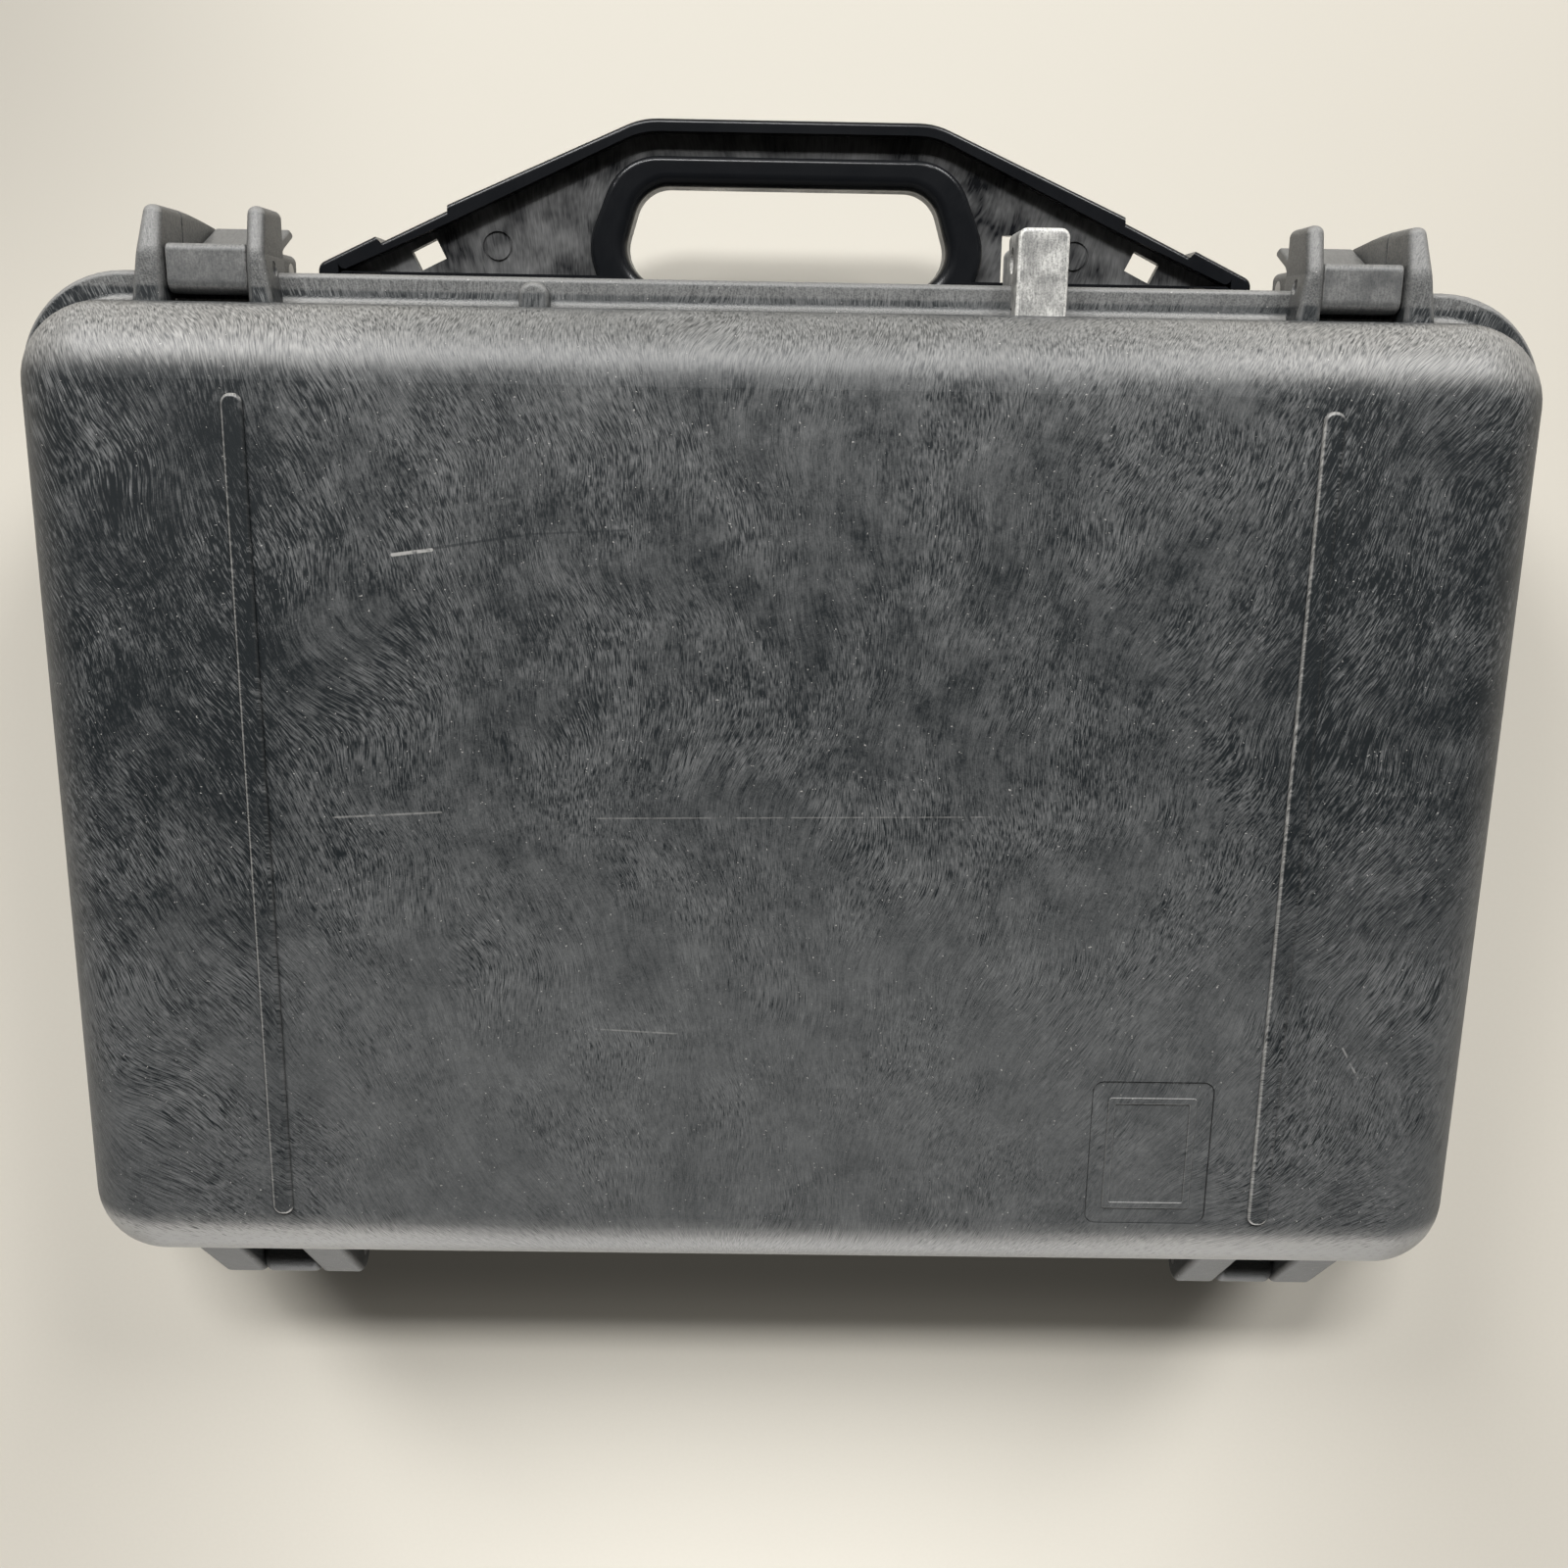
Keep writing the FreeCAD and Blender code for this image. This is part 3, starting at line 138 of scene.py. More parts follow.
class CasePlastic(bpy.types.PropertyGroup):
    """Swirled plastic of the lid and the base"""
    dark: colour("Dark", "Plastic between the strokes", (0.0055, 0.0078, 0.0092))
    pale: colour("Pale", "Strokes that the mould flow left", (0.118, 0.120, 0.119))
    worn: colour("Worn", "Rubbed edges, flange and ears", (0.188, 0.185, 0.177))
    # Pale colour of scuff marks, scratches and dust, also used for painted highlights on the shoulders and the
    # rib edges.
    scuff_and_highlight: colour("Scuffed", "Scuffed shoulders of the lid and the base", (0.36, 0.35, 0.33))
    stroke_width: length("Stroke Width", "Width of a flow stroke", 0.00026)
    stroke_length: length("Stroke Length", "Length of a flow stroke", 0.0030)
    cloud_size: length("Cloud Size", "Size of the soft pale patches", 0.016)
    grain_size: length("Grain Size", "Size of the speckles on worn faces", 0.0005)
    bend: length("Bend", "Sideways sway of the strokes", 0.040)
    bend_size: length("Bend Size", "Distance over which the strokes sway", 0.07)
    gate: spot("Gate", "Point beyond the hinge that the strokes run towards", (0.0, 0.28, 0.0))
    hair_level: gain("Hair Level", "Contrast of single strokes", 2.1)
    cloud_level: gain("Cloud Level", "Contrast of the soft patches", 1.4)
    streak_level: gain("Streak Level", "Contrast of the broad streaks", 0.5)
    grain_level: gain("Grain Level", "Contrast of the speckles", 0.5)
    ground: share("Ground", "Mean tone in the middle", 0.25)
    hinge_gain: share("Hinge Gain", "Paler tone towards the hinge", 0.29)
    latch_gain: share("Latch Gain", "Paler tone towards the latches", 0.10)
    outer_shade: share("Outer Shade", "Darker tone beyond the ribs", 0.20)
    rib_shade: share("Rib Shade", "Darker tone on the ribs and beside them", 0.12)
    left_shade: share("Left Shade", "Darker tone on one side", 0.05)
    # Painted shade on the hinge lugs.
    lug_painted_shade: share("Lug Shade", "Darker tone on the hinge lugs", 0.12)
    # Shoulder scuff marks here are partly wear and partly painted light: a painted highlight on the front
    # shoulder and near the corners, and painted light on the rear shoulders.
    scuff_and_highlight_level: share("Scuff Level", "Scuffs on the front shoulder", 0.30)
    lid_rear_gain: gain("Lid Rear Gain", "Scuffs on the lid's rear shoulder beside the front one", 3.6)
    base_rear_gain: gain("Base Rear Gain", "Scuffs on the base's rear shoulder beside the front one", 0.6)
    corner_gain: gain("Corner Gain", "Scuffs near the corners beside those in the middle", 2.2)
    # Painted highlight along the edge of each rib that faces the lamps.
    rib_highlight_level: share("Rib Scuff", "Scuffs along one edge of each rib", 0.9)
    edge_level: share("Edge Level", "Rubbing of the shells' edges", 0.10)
    badge_edge_level: share("Badge Edge Level", "Rubbing of the badge plate's edges", 0.9)
    flange_wear: share("Flange Wear", "Further rubbing of the flange's edges", 0.45)
    roughness: share("Roughness", "Roughness of the dark plastic", 0.46)
    pale_roughness: share("Pale Roughness", "Further roughness of the pale strokes", 0.12)
    relief: length("Relief", "Height of the strokes", 0.00003)
    gloss: share("Gloss", "Specular level", 0.45)


class CaseFittings(bpy.types.PropertyGroup):
    """Plastic of the latches, the hasp, the handle and the vent knob"""
    latch_dark: colour("Latch Dark", "Unworn plastic of the latches and the hasp", (0.035, 0.037, 0.038))
    latch_worn: colour("Latch Worn", "Speckles on the latches", (0.165, 0.163, 0.157))
    hasp_worn: colour("Hasp Worn", "Speckles on the hasp", (0.62, 0.61, 0.575))
    rub_size: length("Rub Size", "Size of the rubbed patches on the latches and the hasp", 0.007)
    handle_dark: colour("Handle Dark", "Plastic of the handle", (0.0030, 0.0035, 0.0045))
    handle_pale: colour("Handle Pale", "Dusty strokes in the handle's recess", (0.100, 0.100, 0.099))
    handle_edge_level: share("Handle Edge Level", "Rubbing of the handle's edges", 0.05)


class CaseHardware(bpy.types.PropertyGroup):
    """Steel pins, brass bushing and rubber seals"""
    steel: colour("Steel", "Pins and catch bars", (0.46, 0.46, 0.47))
    brass: colour("Brass", "Bushing of the vent", (0.62, 0.44, 0.20))
    rubber: colour("Rubber", "Rim seal and washer", (0.018, 0.018, 0.018))
    dust: colour("Dust", "Dust on the rubber", (0.060, 0.058, 0.054))


class CaseShot(bpy.types.PropertyGroup):
    """Camera, placed as seen with the case standing on its hinge edge"""
    focal: FloatProperty(name="Focal Length", description="In pixels of a picture 1600 wide", default=1647.2,
                         min=1.0)
    place: spot("Place", "To the right, into the picture and up, from the middle of the rim",
                (-0.0033, -0.47266, 0.12174))
    pitch: turn("Pitch", "Downward tilt", 14.147)
    yaw: turn("Yaw", "Turn to the right", 0.622)
    roll: turn("Roll", "Turn round the line of sight", 0.996)


class CaseStage(bpy.types.PropertyGroup):
    """Floor, sky and lamps"""
    floor: colour("Floor", "Paper under the case", (0.84, 0.795, 0.70))
    # Painted shade: the paper is darker beyond the latches and further to the sides.
    floor_far_shade: colour("Floor Far", "Paper beyond the latches", (0.51, 0.482, 0.422))
    floor_side_shade: colour("Floor Side", "Paper further to the sides", (0.44, 0.408, 0.352))
    # Painted shade on the paper in one corner and a painted shadow along the hinge.
    floor_painted_shade: colour("Floor Dim", "Shade on the paper along the hinge and in one corner", (0.02, 0.019, 0.018))
    corner_dim: share("Corner Dim", "Strength of that shade in the corner", 0.29)
    hinge_dim: share("Hinge Dim", "Strength of that shade along the hinge", 0.50)
    sky: colour("Sky", "Light from all round", (1.0, 0.965, 0.89))
    sky_level: share("Sky Level", "Strength of that light overhead", 0.07)
    horizon_level: share("Horizon Level", "Strength of that light along the horizon", 0.72)
    key_power: power("Key Power", "Lamp above the latches", 48.0)
    side_power: power("Side Power", "Each of two lower lamps beyond the latches", 48.0)
    fill_power: power("Fill Power", "Low lamp beyond the hinge", 30.0)


class CaseSettings(bpy.types.PropertyGroup):
    """All sizes and colours of the case's looks"""
    plastic: PointerProperty(type=CasePlastic, name="Plastic", description="Swirled plastic")
    fittings: PointerProperty(type=CaseFittings, name="Fittings", description="Latches, hasp and handle")
    hardware: PointerProperty(type=CaseHardware, name="Hardware", description="Metal and rubber")
    shot: PointerProperty(type=CaseShot, name="Shot", description="Camera")
    stage: PointerProperty(type=CaseStage, name="Stage", description="Floor and lamps")


class Graph:
    """A node tree under construction: adds nodes and joins their sockets."""

    def __init__(self, tree):
        self.tree = tree

    def add(self, kind, inputs=None, **settings):
        node = self.tree.nodes.new("ShaderNode" + kind)
        for name, setting in settings.items():
            setattr(node, name, setting)
        for key, given in (inputs or {}).items():
            self.feed(node.inputs[key], given)
        return node

    def feed(self, socket, given):
        """Joins a socket to the one given, or sets it to the value given."""
        if isinstance(given, bpy.types.NodeSocket):
            self.tree.links.new(given, socket)
        else:
            socket.default_value = given

    def math(self, operation, *given, clamp=False):
        return self.add("Math", dict(enumerate(given)), operation=operation, use_clamp=clamp).outputs[0]

    def plus(self, first, second, clamp=False):
        return self.math("ADD", first, second, clamp=clamp)

    def minus(self, first, second, clamp=False):
        return self.math("SUBTRACT", first, second, clamp=clamp)

    def times(self, first, second, clamp=False):
        return self.math("MULTIPLY", first, second, clamp=clamp)

    def absolute(self, value):
        return self.math("ABSOLUTE", value)

    def largest(self, first, *others):
        for given in others:
            first = self.math("MAXIMUM", first, given)
        return first

    def line(self, value, factor, offset, clamp=False):
        """The value times a factor, plus an offset."""
        return self.math("MULTIPLY_ADD", value, factor, offset, clamp=clamp)

    def contrast(self, noise, level):
        """Spreads a noise to both sides of zero."""
        return self.line(noise, level, -level / 2)

    def vector(self, operation, *given):
        node = self.add("VectorMath", dict(enumerate(given)), operation=operation)
        return node.outputs["Value" if operation in ("LENGTH", "DOT_PRODUCT", "DISTANCE") else "Vector"]

    def stretch(self, vector, factor):
        return self.add("VectorMath", {0: vector, "Scale": factor}, operation="SCALE").outputs["Vector"]

    def split(self, vector):
        return self.add("SeparateXYZ", {"Vector": vector}).outputs

    def join(self, x, y, z=0.0):
        return self.add("CombineXYZ", {"X": x, "Y": y, "Z": z}).outputs[0]

    def band(self, value, low, high, start=0.0, end=1.0):
        """Goes smoothly from start to end as the value goes from low to high."""
        inputs = {"Value": value, "From Min": low, "From Max": high, "To Min": start, "To Max": end}
        return self.add("MapRange", inputs, interpolation_type="SMOOTHSTEP").outputs[0]

    def noise(self, place, size, detail=2.0, roughness=0.5):
        inputs = {"Vector": place, "Scale": 1.0 / size, "Detail": detail, "Roughness": roughness}
        return self.add("TexNoise", inputs).outputs["Fac"]

    def mix(self, factor, first, second):
        node = self.add("Mix", data_type="RGBA")
        for index, given in ((0, factor), (6, first), (7, second)):
            plain = isinstance(given, (float, bpy.types.NodeSocket))
            self.feed(node.inputs[index], given if plain else (*given, 1.0))
        return node.outputs[2]


class Finish(Graph):
    """A material under construction."""

    def __init__(self, name):
        self.material = bpy.data.materials.new(name)
        self.material.use_nodes = True
        super().__init__(self.material.node_tree)
        self.tree.nodes.clear()
        source = self.add("TexCoord")
        self.place = source.outputs["Object"]
        self.facing = source.outputs["Normal"]

    def shader(self, colour, roughness, height=None, height_scale=0.0, **sockets):
        """One principled shader with an optional bump."""
        inputs = {"Base Color": colour, "Roughness": roughness}
        inputs.update({name.replace("_", " "): given for name, given in sockets.items()})
        if height is not None:
            inputs["Normal"] = self.add("Bump", {"Height": height, "Distance": height_scale}).outputs[0]
        return self.add("BsdfPrincipled", inputs).outputs[0]

    def close(self, shader):
        self.add("OutputMaterial", {"Surface": shader})
        return self.material

    def surface(self, *given, **sockets):
        return self.close(self.shader(*given, **sockets))


def dress(names, material):
    """Gives CAD nodes a finish."""
    for name in names:
        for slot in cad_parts[name].material_slots:
            slot.material = material


def unfold(finish, face_z, up):
    """Flat coordinates that run over the face and on down the walls."""
    x, y, z = finish.split(finish.place)
    depth = finish.times(finish.minus(face_z, z), up)
    side = finish.vector("MULTIPLY", finish.facing, (1.0, 1.0, 0.0))
    return finish.vector("ADD", finish.join(x, y), finish.stretch(side, depth))


def flow(finish, place, plastic):
    """Coordinates across and along the mould flow, which runs towards the gate and sways on its way."""
    bend = plastic.bend
    sway = finish.add("TexNoise", {"Vector": place, "Scale": 1.0 / plastic.bend_size, "Detail": 1.5})
    shift = finish.vector("MULTIPLY_ADD", sway.outputs["Color"], (bend, bend, 0.0), (-bend / 2, -bend / 2, 0.0))
    from_gate = finish.vector("SUBTRACT", finish.vector("ADD", place, shift), plastic.gate)
    x, y, _ = finish.split(from_gate)
    angle = finish.math("ARCTAN2", x, finish.times(y, -1.0))
    return finish.times(angle, plastic.gate[1]), finish.vector("LENGTH", from_gate)


def strokes(finish, across, along, width, reach, detail=1.0):
    """Streaks that are long in the direction of the flow."""
    place = finish.join(finish.math("DIVIDE", across, width), finish.math("DIVIDE", along, reach))
    return finish.noise(place, 1.0, detail, 0.6)


def edge_wear(finish, low=0.10, high=0.55):
    """Rises on the roundings between level and upright faces."""
    facing_z = finish.split(finish.facing)[2]
    level = finish.absolute(facing_z)
    upright = finish.math("SQRT", finish.minus(1.0, finish.times(facing_z, facing_z), clamp=True))
    return finish.band(finish.math("MINIMUM", level, upright), low, high)


def scratch(finish, start, end, half_width, strength):
    """Its strength inside a straight scratch on a face seen from above, zero outside."""
    run = Vector(end) - Vector(start)
    x, y, _ = finish.split(finish.place)
    offset = finish.vector("SUBTRACT", finish.join(x, y), (*start, 0.0))
    part = finish.vector("DOT_PRODUCT", offset, (*(run / run.length_squared), 0.0))
    part = finish.largest(finish.math("MINIMUM", part, 1.0), 0.0)
    nearest = finish.stretch((*run, 0.0), part)
    distance = finish.vector("DISTANCE", offset, nearest)
    return finish.band(distance, half_width, half_width * 2, strength, 0.0)


def shoulder(finish, rear_gain):
    """Rises to 1 on the roundings that lean to the front and to the gain on those that lean to the rear."""
    _, y, z = finish.split(finish.facing)
    rising = finish.band(finish.absolute(z), 0.08, 0.45)
    lean = finish.largest(finish.band(y, -0.05, -0.45), finish.band(y, 0.04, 0.45, 0.0, rear_gain))
    return finish.times(rising, lean)


def shell_strokes(finish, plastic, face_z, up):
    """Tone of the swirled plastic, its single strokes, its tufts and its grain."""
    place = unfold(finish, face_z, up)
    across, along = flow(finish, place, plastic)
    width, reach = plastic.stroke_width, plastic.stroke_length
    hair = strokes(finish, across, along, width, reach)
    tufts = strokes(finish, across, along, width * 1.6, reach * 1.6)
    combed = strokes(finish, across, along, width * 1.5, reach * 4.5, 2.0)
    streaks = strokes(finish, across, along, width * 7, reach * 5)
    cloud = finish.noise(place, plastic.cloud_size, 6.0, 0.72)
    patch = finish.band(finish.noise(place, plastic.cloud_size * 2.2, 3.0), 0.36, 0.64)
    grain = finish.noise(finish.place, plastic.grain_size, 2.0, 0.7)
    x, y, _ = finish.split(finish.place)
    side = finish.absolute(x)
    calm = finish.band(y, *CALM_ZONE)
    lively = finish.line(patch, 0.9, finish.line(finish.band(side, *OUTER_ZONE), 0.35, 0.30))
    lively = finish.times(lively, finish.line(calm, -0.25, 1.0))
    swing = finish.plus(finish.contrast(hair, plastic.hair_level), finish.band(tufts, 0.25, 0.50, -0.34, 0.08))
    swing = finish.line(finish.band(combed, 0.30, 0.56, -0.42, 0.13), finish.band(side, *COMBED_ZONE), swing)
    swing = finish.line(swing, lively, finish.contrast(grain, plastic.grain_level))
    swell = finish.plus(finish.contrast(cloud, plastic.cloud_level),
                        finish.contrast(streaks, plastic.streak_level))
    tone = finish.line(swell, finish.line(calm, -0.35, 1.0), swing)
    tone = finish.plus(tone, finish.line(calm, plastic.hinge_gain, plastic.ground))
    tone = finish.plus(tone, finish.band(y, *LATCH_ZONE, 0.0, plastic.latch_gain))
    return tone, hair, tufts, grain


def shell_shade(finish, plastic):
    """Darker zones: beyond the ribs and beside them and on one side of the case, and painted shade on the hinge
    lugs.
    """
    x, y, _ = finish.split(finish.place)
    side = finish.absolute(x)
    from_rib = finish.absolute(finish.minus(side, RIB_SIDE))
    beside_rib = finish.band(from_rib, *RIB_HALO, plastic.rib_shade, 0.0)
    shade = finish.line(finish.band(side, *OUTER_ZONE), plastic.outer_shade, beside_rib)
    shade = finish.plus(shade, finish.band(x, *LEFT_ZONE, 0.0, plastic.left_shade))
    shade = finish.times(shade, finish.line(finish.band(y, *CALM_ZONE), -0.6, 1.0))
    # Painted shade on the hinge lugs.
    return finish.plus(shade, finish.band(y, BODY_REAR, BODY_REAR + LUG_STEP, 0.0, plastic.lug_painted_shade))


def shell_scuffs_and_highlights(finish, plastic, rib, rear_gain):
    """Scuff marks with painted light on the shoulders, and a painted highlight along the edge of each rib that
    faces the lamps.
    """
    x, y, _ = finish.split(finish.place)
    on_body = finish.band(y, BODY_REAR, BODY_REAR + EDGE_STEP, plastic.scuff_and_highlight_level, 0.0)
    # Shoulder scuff marks, partly wear and partly painted highlight and painted light.
    scuffs_and_highlights = finish.times(shoulder(finish, rear_gain), on_body)
    scuffs_and_highlights = finish.times(scuffs_and_highlights, finish.band(finish.absolute(x), *CORNER_ZONE, 1.0, plastic.corner_gain))
    lean_x, lean_y, _ = finish.split(finish.facing)
    # Painted highlight on the side of each rib that faces the lamps.
    rib_painted_highlight = finish.times(rib, finish.band(finish.minus(lean_x, lean_y), 0.20, 0.65))
    return finish.largest(scuffs_and_highlights, finish.times(rib_painted_highlight, plastic.rib_highlight_level))


def shell_wear(finish, plastic, grain, bare, up, edge_level):
    """Speckles on the ears and rubbing along the edges, most of all outside the body's walls."""
    x, y, z = finish.split(finish.place)
    beyond = finish.largest(finish.minus(finish.absolute(x), BODY_HALF_LENGTH), finish.minus(BODY_FRONT, y))
    outside = finish.band(beyond, *BODY_EDGE)
    above = finish.times(finish.minus(z, LID_LOW.z), up)
    raised = finish.band(above, FLANGE_HIGH, FLANGE_HIGH + EDGE_STEP)
    ear = finish.largest(finish.band(beyond, FLANGE_OUT, FLANGE_OUT + EDGE_STEP),
                         finish.times(finish.band(beyond, *EAR_ROOT), raised))
    speckle = finish.band(grain, 0.30, 0.70, 0.15, 0.55)
    rubbed = finish.times(edge_wear(finish), finish.line(outside, plastic.flange_wear, edge_level))
    return finish.largest(finish.times(ear, speckle), finish.times(rubbed, bare))


def shell_plastic(name, plastic, face_z, up, rear_gain, edge_level):
    """Plastic of one half of the case, with scuff marks and painted light on the shoulders, worn ribs with a
    painted highlight along one edge, painted shade on the hinge lugs, and worn flange and ears.
    """
    finish = Finish(name)
    tone, hair, tufts, grain = shell_strokes(finish, plastic, face_z, up)
    above_face = finish.times(finish.minus(finish.split(finish.place)[2], face_z), up)
    rib = finish.band(above_face, *RIB_RISE)
    shade = finish.line(rib, plastic.rib_shade, shell_shade(finish, plastic))
    tone = finish.minus(tone, shade, clamp=True)
    colour = finish.mix(tone, plastic.dark, plastic.pale)
    bare = finish.line(hair, 1.6, finish.line(tufts, 0.8, -0.65), clamp=True)
    # Pale scuff marks on the shoulders, partly painted light, and painted highlights along the rib edges.
    scuffs_and_highlights = finish.times(shell_scuffs_and_highlights(finish, plastic, rib, rear_gain), bare)
    colour = finish.mix(scuffs_and_highlights, colour, plastic.scuff_and_highlight)
    colour = finish.mix(shell_wear(finish, plastic, grain, bare, up, edge_level), colour, plastic.worn)
    if up > 0:
        colour = lid_marks(finish, colour, plastic)
    roughness = finish.line(tone, plastic.pale_roughness, plastic.roughness)
    return finish.surface(colour, roughness, finish.plus(hair, tufts), plastic.relief,
                          Specular_IOR_Level=plastic.gloss)


def lid_marks(finish, colour, plastic):
    """Scratches on the lid face and a little dust."""
    broken = finish.band(finish.noise(finish.place, 0.0025, 2.0), 0.30, 0.55)
    pale = finish.largest(*[scratch(finish, *line) for line in PALE_SCRATCHES])
    dark = finish.largest(*[scratch(finish, *line) for line in DARK_SCRATCHES])
    dust = finish.band(finish.noise(finish.place, 0.0009, 1.0), 0.760, 0.790, 0.0, 0.7)
    on_face = finish.band(finish.split(finish.place)[2], *[LID_FACE + skin for skin in FACE_SKIN])
    broken = finish.times(broken, on_face)
    colour = finish.mix(finish.times(dark, broken), colour, plastic.dark)
    return finish.mix(finish.largest(finish.times(pale, broken), dust), colour, plastic.scuff_and_highlight)


def speckled_plastic(name, worn_colour, fittings, plastic):
    """Grey speckled plastic with rubbed edges."""
    finish = Finish(name)
    grain = finish.band(finish.noise(finish.place, plastic.grain_size, 2.0, 0.7), 0.28, 0.70)
    drawn = finish.noise(finish.vector("MULTIPLY", finish.place, (1.0, 0.25, 0.25)), plastic.grain_size, 1.0)
    rub = finish.band(finish.noise(finish.place, fittings.rub_size, 2.0), 0.25, 0.70, 0.30, 0.75)
    worn = finish.times(finish.line(grain, 0.5, drawn), finish.largest(rub, edge_wear(finish)), clamp=True)
    colour = finish.mix(worn, fittings.latch_dark, worn_colour)
    return finish.surface(colour, finish.line(worn, 0.15, 0.42), worn, 0.00005, Specular_IOR_Level=0.4)


def handle_plastic(plastic, fittings):
    """Dark plastic with rubbed edges and dusty strokes in the recess."""
    finish = Finish("handle_plastic")
    x, y, z = finish.split(finish.place)
    across, along = flow(finish, finish.join(x, y), plastic)
    hair = strokes(finish, across, along, plastic.stroke_width * 1.2, plastic.stroke_length * 1.5)
    tufts = strokes(finish, across, along, plastic.stroke_width * 4, plastic.stroke_length * 2)
    cloud = finish.noise(finish.place, plastic.cloud_size * 0.8, 3.0)
    middle = (HANDLE_LOW.z + HANDLE_HIGH.z) / 2
    recess = finish.band(finish.absolute(finish.minus(z, middle)), *HANDLE_RECESS, 1.0, 0.02)
    dusty = finish.line(hair, 0.7, finish.line(tufts, 0.6, -0.65))
    dusty = finish.plus(dusty, finish.line(cloud, 2.2, -0.65), clamp=True)
    rubbed = finish.times(edge_wear(finish, 0.45, 0.70), fittings.handle_edge_level)
    tone = finish.largest(finish.times(dusty, recess), rubbed)
    colour = finish.mix(tone, fittings.handle_dark, fittings.handle_pale)
    return finish.surface(colour, finish.line(tone, 0.25, 0.26), hair, 0.00004, Specular_IOR_Level=0.25)


def pin_steel(hardware):
    """Drawn steel with dull stains."""
    finish = Finish("pin_steel")
    drawn = finish.noise(finish.vector("MULTIPLY", finish.place, (40.0, 2500.0, 2500.0)), 1.0, 2.0)
    stain = finish.band(finish.noise(finish.place, 0.006, 4.0), 0.45, 0.7)
    colour = finish.mix(stain, hardware.steel, [0.6 * part for part in hardware.steel])
    return finish.surface(colour, finish.line(drawn, 0.25, 0.22), drawn, 0.00001, Metallic=1.0)


def vent_brass(hardware):
    """Turned brass with dull patches."""
    finish = Finish("vent_brass")
    turned = finish.noise(finish.vector("MULTIPLY", finish.place, (60.0, 3000.0, 60.0)), 1.0, 2.0)
    dull = finish.band(finish.noise(finish.place, 0.004, 3.0), 0.4, 0.7)
    colour = finish.mix(dull, hardware.brass, [0.65 * part for part in hardware.brass])
    return finish.surface(colour, finish.line(turned, 0.2, 0.25), turned, 0.00001, Metallic=1.0)


def seal_rubber(hardware):
    """Porous rubber with a little dust."""
    finish = Finish("seal_rubber")
    pores = finish.noise(finish.place, 0.0006, 3.0, 0.7)
    dusty = finish.band(finish.noise(finish.place, 0.012, 4.0), 0.45, 0.75)
    colour = finish.mix(dusty, hardware.rubber, hardware.dust)
    return finish.surface(colour, finish.line(dusty, 0.1, 0.75), pores, 0.00006)


def settings_of(context):
    return context.scene.hard_case


class CASE_OT_shells(bpy.types.Operator):
    """Swirled, worn plastic on the lid, the base and the badge plate"""
    bl_idname = "hard_case.shells"
    bl_label = "Lid and Base"

    def execute(self, context):
        plastic = settings_of(context).plastic
        lid_gain, base_gain = plastic.lid_rear_gain, plastic.base_rear_gain
        edge, badge_edge = plastic.edge_level, plastic.badge_edge_level
        dress(["lid_shell"], shell_plastic("lid_plastic", plastic, LID_FACE, 1.0, lid_gain, edge))
        dress(["badge_plate"], shell_plastic("badge_plastic", plastic, LID_FACE, 1.0, lid_gain, badge_edge))
        dress(["base_shell"], shell_plastic("base_plastic", plastic, BASE_FACE, -1.0, base_gain, edge))
        return {"FINISHED"}


class CASE_OT_fittings(bpy.types.Operator):
    """Speckled grey plastic on the latches and the hasp"""
    bl_idname = "hard_case.fittings"
    bl_label = "Latches and Hasp"

    def execute(self, context):
        plastic, fittings = settings_of(context).plastic, settings_of(context).fittings
        dress(["latch_lever_left", "latch_lever_right"],
              speckled_plastic("latch_plastic", fittings.latch_worn, fittings, plastic))
        dress(["hasp_hood", "hasp_staple"],
              speckled_plastic("hasp_plastic", fittings.hasp_worn, fittings, plastic))
        return {"FINISHED"}


class CASE_OT_handle(bpy.types.Operator):
    """Dark plastic on the carrying handle and the vent knob"""
    bl_idname = "hard_case.handle"
    bl_label = "Handle and Vent Knob"

    def execute(self, context):
        settings = settings_of(context)
        dress(["handle", "vent_knob"], handle_plastic(settings.plastic, settings.fittings))
        return {"FINISHED"}


class CASE_OT_hardware(bpy.types.Operator):
    """Steel pins, brass bushing and rubber seals"""
    bl_idname = "hard_case.hardware"
    bl_label = "Pins, Bushing and Seals"

    def execute(self, context):
        hardware = settings_of(context).hardware
        pins = [f"{piece}_{side}" for piece in ("hinge_pin", "latch_pin", "catch_bar", "handle_pin")
                for side in ("left", "right")]
        dress(pins, pin_steel(hardware))
        dress(["vent_bushing"], vent_brass(hardware))
        dress(["lid_seal", "vent_seal"], seal_rubber(hardware))
        return {"FINISHED"}


def lying(standing):
    """Turns a direction from the standing case, as photographed, to the lying one."""
    right, into, up = standing
    return Vector((-right, -up, -into))


def add_lamp(name, place, target, power, width, height):
    """An area lamp aimed at a point."""
    lamp = bpy.data.objects.new(name, bpy.data.lights.new(name, "AREA"))
    lamp.data.shape = "RECTANGLE"
    lamp.data.size = width
    lamp.data.size_y = height
    lamp.data.energy = power
    lamp.location = place
    lamp.rotation_euler = (Vector(target) - Vector(place)).to_track_quat("-Z", "Y").to_euler()
    bpy.context.scene.collection.objects.link(lamp)


def add_sky(stage):
    """Light from all round, paler along the horizon than overhead, seen by the camera as pale throughout."""
    world = bpy.data.worlds.new("sky")
    world.use_nodes = True
    graph = Graph(world.node_tree)
    height = graph.split(graph.add("TexCoord").outputs["Generated"])[2]
    fade = graph.add("MapRange", {"Value": height, "From Max": SKY_FADE, "To Min": stage.horizon_level,
                                  "To Max": stage.sky_level}).outputs[0]
    seen = graph.times(graph.add("LightPath").outputs["Is Camera Ray"], stage.horizon_level)
    sky = world.node_tree.nodes["Background"]
    graph.feed(sky.inputs["Color"], (*stage.sky, 1.0))
    graph.feed(sky.inputs["Strength"], graph.largest(fade, seen))
    bpy.context.scene.world = world


